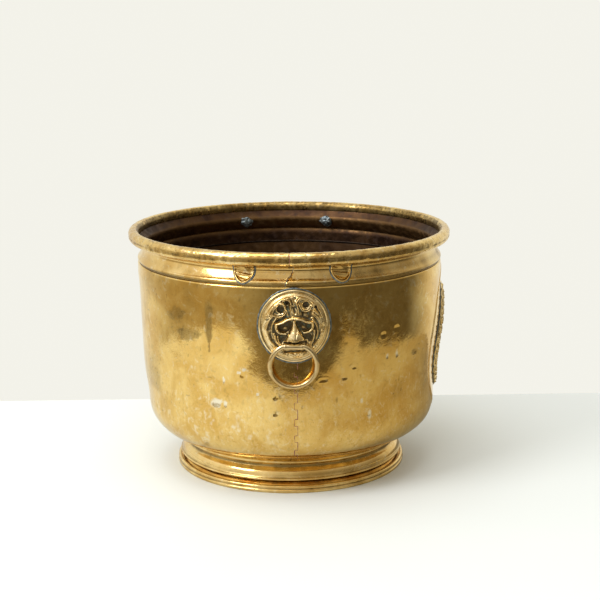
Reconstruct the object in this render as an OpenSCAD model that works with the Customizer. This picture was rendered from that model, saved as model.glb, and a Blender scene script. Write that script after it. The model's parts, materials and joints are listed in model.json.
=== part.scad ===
// Brass planter pot: a seamed sheet-brass body on a moulded foot, with a necked collar under a
// wired rim, two lion-mask ring handles, an oval wreath plaque on one side and old neck patches.
// +Z up, origin on the ground at the pot's axis. The lion masks face -Y and +Y, the plaque +X.
// Lengths are millimetres.

/* [Rim and neck] */
// Outer diameter of the wired rim
rim_d = 330; // [326:1:334]
// Height of the pot, ground to the top of the rim
pot_h = 249.5; // [247:0.5:252]
// Radial width of the rolled rim
roll_w = 10.4; // [9.6:0.2:11.2]
// Height of the rolled rim
roll_h = 12.8; // [12.2:0.2:13.4]
// Thickness of the strip that wraps the rim wire
roll_sheet = 1; // [0.8:0.1:1.2]

/* [Body] */
// Thickness of the body, neck and foot sheet
sheet = 1.2; // [1:0.1:1.4]
// Outer radius at the shoulder
shoulder_r = 156; // [155:0.5:157]
// Outer radius just above the rounded base
lower_r = 148.5; // [147.5:0.5:149]
// Height of the shoulder, where the neck band begins
shoulder_z = 216; // [215:0.5:217]
// Radius of the curve that turns the wall under
bowl_r = 38; // [36:1:40]
// Radius of the flat base plate
base_r = 104; // [102:1:105]

/* [Foot] */
// Outer radius of the ring that stands on the ground
foot_r = 119.5; // [118.5:0.5:120.5]
// Radius of the wire inside the ground ring
foot_wire_r = 1.2; // [1:0.1:1.4]

/* [Ring handles] */
// Half the width of the solder-edged lion mask
mask_r = 34; // [33:0.5:34.5]
// Height of the mask's centre
mask_z = 178.7; // [178:0.1:179]
// Radius of the ring's centreline
ring_r = 22.2; // [21.6:0.1:22.6]
// Radius of the ring's rod
rod_r = 2.4; // [2.3:0.1:2.5]
// Radial running clearance of the ring's bar in its strap
bar_gap = 0.06; // [0.03:0.01:0.1]

/* [Wreath plaque] */
// Half width of the oval plaque
plaque_w = 37; // [35:1:39]
// Half height of the oval plaque
plaque_h = 56; // [54:1:58]
// Height of the plaque's centre
plaque_z = 133; // [131:1:135]

/* [Hidden] */

$fn = 96;
reach = 60;             // long enough to cut right through a wall from outside

// Body wall
band = 5;               // height of one band of the wall's outline
flare_top = 205;        // the wall is upright above this height
flare = 1.9;            // power of the curve that widens it from the bowl up to there
bowl_z = 73;            // height where the wall starts to turn under
bowl_turn = 72;         // degrees that it turns before running straight to the base
bowl_c = lower_r - bowl_r;
seam_w = 0.5;           // width of the brazing in a joint
seam_left = 0.8;        // the dovetailed wall seam steps between these two lines
seam_right = 3.9;
seam_long = 9.5;        // length of a tab on the right line
seam_short = 7;         // length of a tab on the left line
seam_low = 36;          // height where the visible seam starts

// Neck and rim
flange_z = 206;         // lower edge of the neck band, inside the body
roll_r = roll_w / 2;
roll_c = rim_d / 2 - roll_r;
roll_top = pot_h - roll_r;
roll_low = pot_h - roll_h + roll_r;
neck_in = shoulder_r - sheet;
rim_joint_x = -3.7;     // the rim strip's ends meet a little beside the wall seam
neck_joint_x = 0.8;     // the neck strip's ends meet here
rim_joint_w = 0.8;

// Foot
foot_bead_r = 2.1;
foot_c = foot_r - foot_bead_r;
foot_low_z = 1.9;       // centre of the lower bead, so that a narrow flat rests on the ground
foot_high_z = 5.8;
foot_lip_r = 111.5;     // outer radius of the skirt's lip, against the body
flange_r = foot_lip_r + 1; // where the ground ring's flange meets the skirt

// Ring handles
mask_x = 1;             // the masks sit a little beside the rings they hold
mask_tall = 1.05;       // height of a mask over its width
wall_at_ring = lower_r + rod_r + 1.2;   // where the ring's lowest point rests against the body
ring_lean = 10;         // degrees that the resting ring leans in from upright
bar_half = 10.4;        // half length of the straight bar at the top of the ring
bar_r = rod_r - 0.1;
bar_drop = sqrt(ring_r * ring_r - bar_half * bar_half);
pivot_y = -(wall_at_ring + (bar_drop + ring_r) * sin(ring_lean));
pivot_z = 160;
strap_half = 8.8;       // half width of the strap's barrel
strap_r = 3.7;
tail_half = 6;          // half width of the strap's tails
tail_t = 1.2;
foot_run = 13;          // length of each clinched tail end
slot_gap = 0.15;

// Neck patches
patch_angle = 17.4;
patch_half = 10.5;
patch_mid_z = 229.5;
patch_top_z = 235.6;
patch_t = 1;
solder_w = 1.1;

brass = "#c9a145";
bright_brass = "#d9b65c";
cast_brass = "#b08a3a";
braze = "#8c5a4a";
solder = "#7f8791";
iron = "#5a4a42";

function flip(points) = [for (i = [len(points) - 1 : -1 : 0]) points[i]];
function arc(c, r, a0, a1, n) = [for (i = [0 : n]) c + r * [cos(a0 + (a1 - a0) * i / n),
                                                            sin(a0 + (a1 - a0) * i / n)]];

// Outer radius of the body wall at height z, above the bowl
function wall_r(z) = lower_r + (shoulder_r - lower_r)
    * pow(min(1, (z - bowl_z) / (flare_top - bowl_z)), flare);
// Heights of the wall's bands between two heights; the low one is a multiple of the band
function wall_steps(low, high) = concat([for (z = [low : band : min(high, flare_top)]) z],
                                        high > flare_top ? [high] : []);
function bowl_end(d) = [bowl_c + (bowl_r - d) * cos(bowl_turn),
                        bowl_z - (bowl_r - d) * sin(bowl_turn)];
// Wall line from height top down to the base plate, d inside the outer face
function wall_line(d, top) = concat(
    [for (z = flip(wall_steps(bowl_z + 2, top))) [wall_r(z) - d, z]],
    arc([bowl_c, bowl_z], bowl_r - d, 0, -bowl_turn, 10),
    [[base_r, bowl_end(d)[1] - (bowl_end(d)[0] - base_r) / tan(bowl_turn)]]);
base_z = wall_line(0, shoulder_z)[len(wall_line(0, shoulder_z)) - 1][1];
function under_z(r) = base_z + (r - base_r) / tan(bowl_turn);

// Neck line, d inside the outer face: a flange, a convex band and a waist under the rim
function neck_line(d) = concat(
    [[neck_in - d, flange_z], [neck_in - d, shoulder_z + 0.2]],
    arc([neck_in - 1.4 - d, shoulder_z + 3.6], 2.8, -30, 50, 6),
    [[neck_in - 2.2 - d, shoulder_z + 9.5]],
    arc([neck_in + 0.4 - d, shoulder_z + 15], 4.4, 210, 140, 6),
    [[neck_in + 1.6 - d, shoulder_z + 23.5]]);

module revolve(points) {
    rotate_extrude($fn = 180) polygon(points);
}

// Skin that follows the wall between two distances outside its outer face
module wall_skin(d0, d1, low, high) {
    steps = wall_steps(low, high);
    revolve(concat([for (z = steps) [wall_r(z) + d0, z]],
                   [for (z = flip(steps)) [wall_r(z) + d1, z]]));
}

module neck_skin(d0, d1) {
    revolve(concat(neck_line(-d0), flip(neck_line(-d1))));
}

module roll_section(r) {
    translate([roll_c, roll_low]) circle(r, $fn = 48);
    translate([roll_c, roll_top]) circle(r, $fn = 48);
    translate([roll_c - r, roll_low]) square([2 * r, roll_top - roll_low]);
}

// Stepped brazing line of the wall seam, drawn as width against height
module seam_path() {
    pitch = seam_long + seam_short;
    for (z = [seam_low : pitch : shoulder_z]) {
        translate([seam_right, z]) square([seam_w, seam_long]);
        translate([seam_left, z + seam_long - seam_w]) square([seam_w, seam_short + seam_w]);
        translate([seam_left, z + seam_long - seam_w])
            square([seam_right - seam_left + seam_w, seam_w]);
        translate([seam_left, z + pitch - seam_w])
            square([seam_right - seam_left + seam_w, seam_w]);
    }
}

// Turns a flat outline into a bar that leaves the axis towards -Y
module toward_front(from) {
    translate([0, -from, 0]) rotate([90, 0, 0]) linear_extrude(reach) children();
}

module seam_bar() {
    toward_front(105) seam_path();
}

module strap_slot() {
    translate([-tail_half - slot_gap, pivot_y, pivot_z - tail_t - slot_gap])
        cube([2 * (tail_half + slot_gap), reach, 2 * (tail_t + slot_gap)]);
}

module both_sides() {
    children();
    rotate([0, 0, 180]) children();
}

module wall_sheet() {
    revolve(concat(wall_line(0, shoulder_z), flip(wall_line(sheet, shoulder_z))));
}

module body_wall() {
    color(brass) difference() {
        wall_sheet();
        seam_bar();
        both_sides() strap_slot();
    }
}

module wall_seam_braze() {
    color(braze) difference() {
        intersection() {
            wall_sheet();
            seam_bar();
        }
        strap_slot();
    }
}

module base_plate() {
    color(brass) translate([0, 0, base_z]) cylinder(h = sheet, r = base_r - seam_w, $fn = 180);
}

module base_seam_braze() {
    color(braze) translate([0, 0, base_z]) difference() {
        cylinder(h = sheet, r = base_r, $fn = 180);
        translate([0, 0, -1]) cylinder(h = sheet + 2, r = base_r - seam_w, $fn = 180);
    }
}

module neck_slot() {
    translate([neck_joint_x - seam_w, -shoulder_r - 5, flange_z - 1]) cube([seam_w, 20, reach]);
}

module neck_sheet() {
    rotate_extrude($fn = 180) difference() {
        polygon(concat(neck_line(0), flip(neck_line(sheet))));
        roll_section(roll_r);
    }
}

module neck_band() {
    color(bright_brass) difference() {
        neck_sheet();
        neck_slot();
    }
}

module neck_seam_solder() {
    color(solder) intersection() {
        neck_sheet();
        neck_slot();
    }
}

module neck_joint_solder() {
    low = flange_z - 2.5;
    color(solder) revolve([[wall_r(low) - sheet, low], [neck_in, flare_top], [neck_in, flange_z],
                           [neck_in - sheet, flange_z]]);
}

module rim_joint() {
    translate([rim_joint_x, -rim_d / 2 - 1, pot_h - roll_h - 1]) cube([rim_joint_w, 14, roll_h + 2]);
}

module rim_strip() {
    rotate_extrude($fn = 180) difference() {
        roll_section(roll_r);
        roll_section(roll_r - roll_sheet);
    }
}

module rim_roll() {
    color(brass) difference() {
        rim_strip();
        rim_joint();
    }
}

module rim_joint_braze() {
    color(braze) intersection() {
        rim_strip();
        rim_joint();
    }
}

module rim_wire() {
    color(iron) rotate_extrude($fn = 180) roll_section(roll_r - roll_sheet);
}

// Moulded skirt: a lip against the body, a hollow, a swelling band and a lower bead
module foot_skirt() {
    lip_top = under_z(foot_lip_r - 1.2);
    outer = concat([[foot_lip_r - 1.2, lip_top]],
                   arc([foot_lip_r - 1, lip_top - 3], 2, 50, -50, 6),
                   arc([foot_lip_r + 0.8, lip_top - 7.3], 2.8, 160, 215, 5),
                   arc([foot_lip_r - 6.2, 15.4], 9.4, 50, 8, 6),
                   arc([foot_lip_r + 3.2, 13], 1.5, 70, -60, 7),
                   [[foot_lip_r + 2.2, 9.4]]);
    inner = [[flange_r, 9.4], [flange_r, 12], [foot_lip_r + 1.4, 15], [foot_lip_r + 0.6, 18],
             [foot_lip_r - 1.4, 22], [foot_lip_r - 3.3, 24.4], [foot_lip_r - 3.3, 28],
             [foot_lip_r - 2.4, under_z(foot_lip_r - 2.4)]];
    color(brass) revolve(concat(outer, inner));
}

module foot_joint_solder() {
    corner = foot_lip_r - 2.4;
    color(solder) revolve([[corner, under_z(corner)], [corner - 2.4, under_z(corner - 2.4)],
                           [corner - 0.5, under_z(corner) - 2]]);
}

// Rolled double bead on the ground, with a web and a flange that rises inside the skirt
module foot_base_ring() {
    color(brass) rotate_extrude($fn = 180) difference() {
        union() {
            translate([foot_c, foot_low_z]) circle(foot_bead_r, $fn = 40);
            translate([foot_c - 0.2, foot_high_z]) circle(foot_bead_r - 0.1, $fn = 40);
            translate([flange_r - 1.2, foot_high_z - 0.6]) square([foot_c - flange_r + 1, 1.2]);
            translate([flange_r - 1.2, foot_high_z - 0.6]) square([1.2, 6.6]);
        }
        translate([foot_c, foot_low_z]) circle(foot_wire_r, $fn = 32);
        translate([foot_c - 5, -3]) square([10, 3]);
    }
}

module foot_wire() {
    color(iron) rotate_extrude($fn = 180)
        translate([foot_c, foot_low_z]) circle(foot_wire_r, $fn = 32);
}

// Everything inside the body's outer face, in the height range of the masks and plaque
module wall_core() {
    high = 216;
    revolve(concat([[0, bowl_z + 2], [0, high]],
                   [for (z = flip(wall_steps(bowl_z + 2, high))) [wall_r(z), z]]));
}

module mask_oval(r) {
    translate([mask_x, mask_z]) scale([1, mask_tall]) circle(r, $fn = 96);
}

module mask_step(r, rise) {
    intersection() {
        wall_skin(0, rise, 140, shoulder_z);
        toward_front(100) mask_oval(r);
    }
}

module bump(x, z, depth, r) {
    translate([x, -depth, z]) sphere(r, $fn = 40);
}

// Cast lion's head on a stepped round bezel, open at the mouth for the ring's strap
module lion_mask() {
    face_r = 28.5;
    mane_r = 22.4;
    nose_half = 5;
    nose = [[-160, 188], [-163.5, 187], [-168.5, 171], [-166.5, 167.4], [-155, 166.6]];
    color(cast_brass) difference() {
        union() {
            mask_step(mask_r, 2.2);
            mask_step(mask_r - 2.6, 3.4);
            intersection() {
                bump(mask_x, mask_z + 3, 126, 33);
                toward_front(100) mask_oval(face_r);
            }
            for (a = [-120 : 30 : 120])
                bump(mask_x + mane_r * sin(a), mask_z + mane_r * cos(a), 153, 5);
            for (side = [-1, 1]) {
                bump(side * 8.5, 190, 154.8, 7.4);
                bump(side * 8.8, 170, 152.6, 8.6);
            }
            bump(0, 154.4, 153.4, 5.4);
            translate([-nose_half, 0, 0]) rotate([90, 0, 90])
                linear_extrude(2 * nose_half) polygon(nose);
        }
        for (side = [-1, 1])
            bump(side * 10.5, 181, 164, 4.6);
        translate([-26, pivot_y, pivot_z]) rotate([0, 90, 0]) cylinder(h = 52, r = strap_r + 0.4);
        strap_slot();
        wall_core();
    }
}

module mask_solder() {
    color(solder) difference() {
        mask_step(mask_r + 1.4, 0.8);
        toward_front(100) mask_oval(mask_r);
    }
}

// Strap bent round the ring's bar, its two tails through mask and wall and clinched inside
module ring_strap() {
    color(bright_brass) difference() {
        union() {
            translate([-strap_half, pivot_y, pivot_z]) rotate([0, 90, 0])
                cylinder(h = 2 * strap_half, r = strap_r);
            translate([-tail_half, pivot_y + strap_r - 1, pivot_z - tail_t])
                cube([2 * tail_half, -pivot_y - wall_r(pivot_z) - strap_r + sheet + 1.8, 2 * tail_t]);
            intersection() {
                wall_skin(-sheet - tail_t, -sheet, 145, 180);
                translate([-tail_half, -shoulder_r, pivot_z - foot_run])
                    cube([2 * tail_half, 20, 2 * foot_run]);
            }
        }
        translate([-strap_half - 1, pivot_y, pivot_z]) rotate([0, 90, 0])
            cylinder(h = 2 * strap_half + 2, r = bar_r + bar_gap);
    }
}

// Ring with a straight bar across its top, leaning in against the wall
module ring_handle() {
    color(bright_brass) translate([0, pivot_y, pivot_z]) rotate([ring_lean, 0, 0]) union() {
        translate([0, 0, -bar_drop]) rotate([90, 0, 0]) difference() {
            rotate_extrude($fn = 96) translate([ring_r, 0]) circle(rod_r, $fn = 40);
            translate([-bar_half, bar_drop - 4, -5]) cube([2 * bar_half, 10, 10]);
        }
        translate([-bar_half - 0.8, 0, 0]) rotate([0, 90, 0])
            cylinder(h = 2 * bar_half + 1.6, r = bar_r);
    }
}

module oval(w, h) {
    polygon([for (a = [0 : 7.5 : 359]) [w * cos(a), h * sin(a)]]);
}

module plaque_layer(rise) {
    intersection() {
        wall_skin(0, rise, 75, 195);
        rotate([0, 0, 90]) toward_front(100) translate([0, plaque_z]) children();
    }
}

// Oval plaque with a raised wreath, scalloped as its leaves are, round a plain shield
module wreath_plaque() {
    leaves = 26;
    leaf_r = 5.6;
    color(cast_brass) {
        plaque_layer(1.4) oval(plaque_w, plaque_h);
        plaque_layer(3.2) polygon([[-13, 17], [13, 17], [13, -4], [0, -22], [-13, -4]]);
        plaque_layer(4.4)
            for (a = [0 : 360 / leaves : 359])
                translate([(plaque_w - leaf_r - 0.4) * cos(a), (plaque_h - leaf_r - 0.4) * sin(a)])
                    circle(leaf_r, $fn = 32);
    }
}

module plaque_solder() {
    color(solder) difference() {
        plaque_layer(0.5) oval(plaque_w + solder_w, plaque_h + solder_w);
        rotate([0, 0, 90]) toward_front(100) translate([0, plaque_z]) oval(plaque_w, plaque_h);
    }
}

module patch_outline(grow) {
    r = patch_half + grow;
    intersection() {
        translate([0, patch_mid_z]) circle(r, $fn = 64);
        translate([-r, patch_mid_z - r]) square([2 * r, r]);
    }
    translate([-r, patch_mid_z]) square([2 * r, patch_top_z - patch_mid_z]);
}

// Tongue-shaped patch that covers an old hole in the neck
module neck_patch(angle) {
    color(bright_brass) intersection() {
        neck_skin(0, patch_t);
        rotate([0, 0, angle]) toward_front(120) patch_outline(0);
    }
}

module patch_solder() {
    color(solder) for (angle = [-patch_angle, patch_angle, 180 - patch_angle, 180 + patch_angle])
        intersection() {
            neck_skin(0, 0.5);
            rotate([0, 0, angle]) difference() {
                toward_front(120) patch_outline(solder_w);
                toward_front(119) patch_outline(0);
            }
        }
}

// Rough solder lumps on the inside of the neck, behind each patch
module inner_solder_blobs() {
    inside = concat([[0, flange_z], [neck_in - sheet, flange_z]],
                    [for (p = neck_line(sheet)) if (p[1] < 236 && p[1] > flange_z) p], [[0, 236]]);
    color(solder) intersection() {
        revolve(inside);
        for (angle = [-patch_angle, patch_angle, 180 - patch_angle, 180 + patch_angle])
            rotate([0, 0, angle - 90]) translate([neck_in - 3.6, 0, 228]) sphere(4.8, $fn = 40);
    }
}

body_wall();
wall_seam_braze();
base_plate();
base_seam_braze();
neck_band();
neck_seam_solder();
neck_joint_solder();
rim_roll();
rim_wire();
rim_joint_braze();
foot_skirt();
foot_joint_solder();
foot_base_ring();
foot_wire();
lion_mask();  // lion_mask_front
rotate([0, 0, 180]) lion_mask();  // lion_mask_back
mask_solder();  // mask_solder_front
rotate([0, 0, 180]) mask_solder();  // mask_solder_back
ring_strap();  // ring_strap_front
rotate([0, 0, 180]) ring_strap();  // ring_strap_back
ring_handle();  // ring_front
rotate([0, 0, 180]) ring_handle();  // ring_back
wreath_plaque();
plaque_solder();
neck_patch(-patch_angle);  // neck_patch_front_left
neck_patch(patch_angle);  // neck_patch_front_right
neck_patch(180 - patch_angle);  // neck_patch_back_left
neck_patch(180 + patch_angle);  // neck_patch_back_right
patch_solder();
inner_solder_blobs();
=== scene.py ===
import itertools
import json
import math

import bpy
import numpy as np
from mathutils import Matrix, Vector


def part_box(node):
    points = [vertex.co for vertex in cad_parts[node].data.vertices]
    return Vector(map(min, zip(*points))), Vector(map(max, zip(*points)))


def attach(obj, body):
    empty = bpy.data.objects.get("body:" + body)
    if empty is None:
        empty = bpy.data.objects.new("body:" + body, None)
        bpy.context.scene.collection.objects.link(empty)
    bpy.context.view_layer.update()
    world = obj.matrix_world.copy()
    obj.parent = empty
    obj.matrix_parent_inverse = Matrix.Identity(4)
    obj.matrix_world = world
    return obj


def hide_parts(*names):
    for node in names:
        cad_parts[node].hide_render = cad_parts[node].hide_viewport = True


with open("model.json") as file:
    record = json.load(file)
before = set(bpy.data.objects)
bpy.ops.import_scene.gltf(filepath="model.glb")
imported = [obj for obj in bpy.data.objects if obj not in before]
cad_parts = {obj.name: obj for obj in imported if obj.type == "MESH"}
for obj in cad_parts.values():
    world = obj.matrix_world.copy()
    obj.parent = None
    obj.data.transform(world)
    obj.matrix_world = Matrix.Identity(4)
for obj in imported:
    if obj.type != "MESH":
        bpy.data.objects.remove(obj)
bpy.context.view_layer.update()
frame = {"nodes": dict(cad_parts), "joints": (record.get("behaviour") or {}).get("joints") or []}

# Brass planter pot. Shapes are worked out in millimetres and turned into metres as meshes are made.
# Angles round the pot start at the front mask (-Y) and grow towards the wreath plaque (+X).
MM = 0.001


def low_high(node):
    """The lowest and highest corner of a CAD node, in millimetres"""
    low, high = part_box(node)
    return np.array(low) / MM, np.array(high) / MM


# ---------------------------------------------------------------- sizes, from the frame
RIM_LOW, RIM_HIGH = low_high("rim_roll")
WALL_HIGH = low_high("body_wall")[1]
BASE_LOW, BASE_HIGH = low_high("base_seam_braze")
FOOT_HIGH = low_high("foot_base_ring")[1]
MASK_LOW, MASK_HIGH = low_high("lion_mask_front")
PLAQUE_LOW, PLAQUE_HIGH = low_high("wreath_plaque")
RING_HIGH = low_high("ring_front")[1]
STRAP_LOW, STRAP_HIGH = low_high("ring_strap_front")

POT_H = RIM_HIGH[2]
RIM_R = RIM_HIGH[0]
ROLL_R = 5.2                                # half the radial width of the rim roll
ROLL_C = RIM_R - ROLL_R
ROLL_TOP = POT_H - ROLL_R
ROLL_LOW = RIM_LOW[2] + ROLL_R
SHEET = BASE_HIGH[2] - BASE_LOW[2]          # thickness of the sheet brass
SHOULDER_R = WALL_HIGH[0]
SHOULDER_Z = WALL_HIGH[2]
LOWER_R = 148.5                             # outer radius of the wall just above the bowl
FLARE_TOP, FLARE = 205, 1.9                 # the wall widens up to here, by this power
BOWL_Z, BOWL_R = 73, 38                     # where the wall starts to turn in, and how tightly
BOWL_TURN = math.radians(72)
BASE_R, BASE_Z = BASE_HIGH[0], BASE_LOW[2]
NECK_IN = SHOULDER_R - SHEET                # the neck band sits inside the wall
FLANGE_Z = 206                              # lower edge of the neck band
FOOT_R = FOOT_HIGH[0]
LIP_R = 111.5                               # outer radius of the skirt's lip
MASK_X = (MASK_LOW[0] + MASK_HIGH[0]) / 2
MASK_Z = (MASK_LOW[2] + MASK_HIGH[2]) / 2
MASK_R = (MASK_HIGH[0] - MASK_LOW[0]) / 2
MASK_TALL = (MASK_HIGH[2] - MASK_LOW[2]) / 2 / MASK_R
PLAQUE_Z = (PLAQUE_LOW[2] + PLAQUE_HIGH[2]) / 2
PLAQUE_W = (PLAQUE_HIGH[1] - PLAQUE_LOW[1]) / 2
PLAQUE_H = (PLAQUE_HIGH[2] - PLAQUE_LOW[2]) / 2
BORDER_W, BORDER_H = 57, 74                 # half sizes of the lines chased round the plaque
PIVOT = np.array(next(j for j in frame["joints"] if j["child"] == "front_ring")["pos_m"]) / MM
ROD_R = 2.4                                 # radius of the ring's rod
RING_R = RING_HIGH[0] - ROD_R
BAR_HALF = 10.4                             # half length of the straight bar on top of a ring
STRAP_HALF = (STRAP_HIGH[0] - STRAP_LOW[0]) / 2
STRAP_R = PIVOT[1] - STRAP_LOW[1]
RING_LEAN = math.radians(10)                # how far a hanging ring leans in to the wall
PATCH_TURN = math.radians(17.4)             # the neck patches lie this far to each side of a mask
PATCH_HALF = 10.5
PATCH_MID, PATCH_TOP = 229.5, 235.6
SEAM_LEFT, SEAM_RIGHT, SEAM_LOW_Z = 0.8, 3.9, 36
SEAM_LONG, SEAM_SHORT = 9.5, 7              # the castellated seam's two runs
RIM_JOINT_X, RIM_JOINT_W = -3.3, 0.8
NECK_JOINT_X = 0.5
STREAK_X = -79.8                            # a dark streak runs down the wall here
PLAQUE_SIDE, BACK = math.radians(90), math.radians(180)
ENDS = (("front", 0.0), ("back", BACK))     # where the two lion handles are


# ---------------------------------------------------------------- noise
def hashed(cell, seed):
    """A repeatable number from -1 to 1 for each lattice cell"""
    c = cell.astype(np.int64).astype(np.uint32)
    h = c[..., 0] * np.uint32(374761393) + c[..., 1] * np.uint32(668265263)
    h = h + c[..., 2] * np.uint32(2246822519) + np.uint32((seed * 3266489917) % 2**32)
    h = (h ^ (h >> np.uint32(15))) * np.uint32(2246822519)
    h = (h ^ (h >> np.uint32(13))) * np.uint32(3266489917)
    return (h ^ (h >> np.uint32(16))) / 2147483648.0 - 1


def noise(p, size, seed, stretch=(1, 1, 1)):
    """Smooth noise from -1 to 1 at points p, with lumps about size millimetres across"""
    q = np.asarray(p) / (size * np.array(stretch))
    cell = np.floor(q)
    f = q - cell
    f = f * f * f * (f * (f * 6 - 15) + 10)
    total = 0
    for corner in itertools.product((0, 1), repeat=3):
        share = np.prod(np.where(corner, f, 1 - f), axis=-1)
        total = total + share * hashed(cell + corner, seed)
    return total


def rough(p, size, seed, octaves, stretch=(1, 1, 1)):
    """Noise with finer and weaker copies of itself added"""
    return sum(noise(p, size / 2**k, seed + k, stretch) / 2**k for k in range(octaves))


def dimples(p, size, seed):
    """Distance to the nearest of many scattered points, as a share of their spacing"""
    q = np.asarray(p) / size
    cell = np.floor(q)
    nearest = np.full(q.shape[:-1], 9.0)
    for step in itertools.product((-1, 0, 1), repeat=3):
        other = cell + step
        place = other + 0.5 + 0.42 * np.stack([hashed(other, seed + k) for k in range(3)], -1)
        nearest = np.minimum(nearest, ((q - place) ** 2).sum(-1))
    return np.sqrt(nearest)


def smooth(t):
    """0 at t = 0, rising smoothly to 1 at t = 1"""
    t = np.clip(t, 0, 1)
    return t * t * (3 - 2 * t)


def hump(d):
    """1 at distance 0, falling smoothly to 0 at distance 1"""
    return np.clip(1 - np.asarray(d) ** 2, 0, 1) ** 2


# ---------------------------------------------------------------- outlines of the sheet parts
def wall_r(z):
    """Outer radius of the true wall at height z"""
    z = np.asarray(z, float)
    upper = LOWER_R + (SHOULDER_R - LOWER_R) * np.clip((z - BOWL_Z) / (FLARE_TOP - BOWL_Z), 0, 1) ** FLARE
    bowl = LOWER_R - BOWL_R + np.sqrt(np.maximum(BOWL_R**2 - (BOWL_Z - z) ** 2, 0))
    return np.where(z > BOWL_Z, upper, bowl)


def arc(centre, r, start, end, n):
    """n + 1 points round part of a circle, from one angle in degrees to another"""
    a = np.radians(np.linspace(start, end, n + 1))
    return [(centre[0] + r * math.cos(t), centre[1] + r * math.sin(t)) for t in a]


def wall_outline(step):
    """Outer line of the wall, from its top edge down and in to the base plate"""
    straight = np.arange(SHOULDER_Z - 2.4, BOWL_Z, -step)
    line = [(SHOULDER_R - 1.1, SHOULDER_Z), (SHOULDER_R - 0.65, SHOULDER_Z - 0.15),
            (SHOULDER_R - 0.3, SHOULDER_Z - 0.5), (SHOULDER_R - 0.05, SHOULDER_Z - 1.1),
            (SHOULDER_R, SHOULDER_Z - 1.7)]
    line += [(float(wall_r(z)), z) for z in straight]
    turn = int(BOWL_R * BOWL_TURN / step)
    line += arc((LOWER_R - BOWL_R, BOWL_Z), BOWL_R, 0, -math.degrees(BOWL_TURN), turn)
    last = line[-1]
    runs = int((last[0] - BASE_R) / step)
    line += [(last[0] + (BASE_R - last[0]) * k / runs, last[1] + (BASE_Z - last[1]) * k / runs)
             for k in range(1, runs + 1)]
    return np.array(line)


def neck_outline():
    """Outer line of the neck band, from its flange inside the body up to the rim"""
    line = [(NECK_IN, z) for z in np.linspace(FLANGE_Z, SHOULDER_Z + 0.2, 6)]
    line += arc((NECK_IN - 1.4, SHOULDER_Z + 3.6), 2.8, -30, 50, 12)
    line += [(NECK_IN - 2.2, SHOULDER_Z + 9.5)]
    line += arc((NECK_IN + 0.4, SHOULDER_Z + 15), 4.4, 210, 140, 14)
    line += [(NECK_IN + 0.7, SHOULDER_Z + 22.2), (NECK_IN + 1.3, SHOULDER_Z + 23.6)]
    return np.array(line)


NECK_LINE = neck_outline()


def neck_r(z):
    """Outer radius of the neck band at height z"""
    return np.interp(z, NECK_LINE[:, 1], NECK_LINE[:, 0])


def line_normals(line):
    """Unit directions square to an open line, on the side away from the pot's axis"""
    t = np.gradient(line, axis=0)
    n = np.stack([t[:, 1], -t[:, 0]], -1)
    n /= np.linalg.norm(n, axis=1, keepdims=True)
    return n * np.where((n @ [1, -0.3]).mean() < 0, -1, 1)


# ---------------------------------------------------------------- unevenness of the old sheet
# Broad bulges: angle, height, amount, reach round the pot in degrees, reach up it
BULGES = [(-92, 108, 2.9, 34, 30), (-92, 150, 2.6, 34, 34), (-92, 76, -1.0, 30, 16), (88, 154, 5.2, 30, 38),
          (88, 74, 1.6, 30, 30), (88, 50, 2.0, 28, 12), (140, 120, 1.2, 24, 50),
          (-150, 90, -1.3, 34, 40), (225, 180, 1.0, 22, 30)]
# Knocks: position across the front, height, half width, half height, depth
KNOCKS = [(28.5, 123.7, 4.6, 1.2, 0.50), (49, 124.4, 4, 1.4, 0.55), (58.2, 134.4, 3, 1.2, 0.45),
          (87.5, 162, 2.6, 2.8, 0.6), (101, 166.3, 3.2, 2.8, 0.45), (101.5, 139.5, 1.3, 4.2, 0.4),
          (91.5, 139.3, 1.3, 3.2, 0.35), (119.9, 136, 3.2, 2.2, 0.6), (-102.7, 107, 4.6, 1, 0.5),
          (-66.7, 120.9, 1.3, 4, 0.35), (-74, 97.6, 5.4, 5.2, 0.6), (-65.2, 96.9, 1.8, 3.8, 0.4),
          (-84, 51, 3.4, 2.6, 0.4), (-24, 63, 3, 2, 0.3), (73, 84, 4, 2.4, 0.3), (-49, 128, 2.4, 3.4, 0.3)]
# Punch marks: position across the front, height
PUNCHES = [(-17.3, 107.5), (-17.5, 91)]
# Dull stains, then spots rubbed pale: position across the front, height, half width, half height
STAINS = [(-102.5, 162.5, 10.5, 7.5), (-94, 164, 9, 5.5), (-112, 181, 9, 8), (119.9, 136, 4.5, 3),
          (-84, 51, 4, 3), (-88, 46, 3, 2.4), (87.5, 161, 2.4, 2.4)]
FLECKS = [(-74, 97.6, 5.4, 5.4), (-65.2, 96.9, 1.9, 4), (-66.7, 120.9, 1.5, 4.4), (-52, 130, 2.6, 2),
          (-47, 134, 2.4, 1.7), (-34, 110, 1.5, 1.5), (101.5, 139.5, 1.4, 4.4), (91.5, 139, 1.3, 3.4),
          (74, 84, 2, 5), (66, 99, 1.6, 3)]


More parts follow.
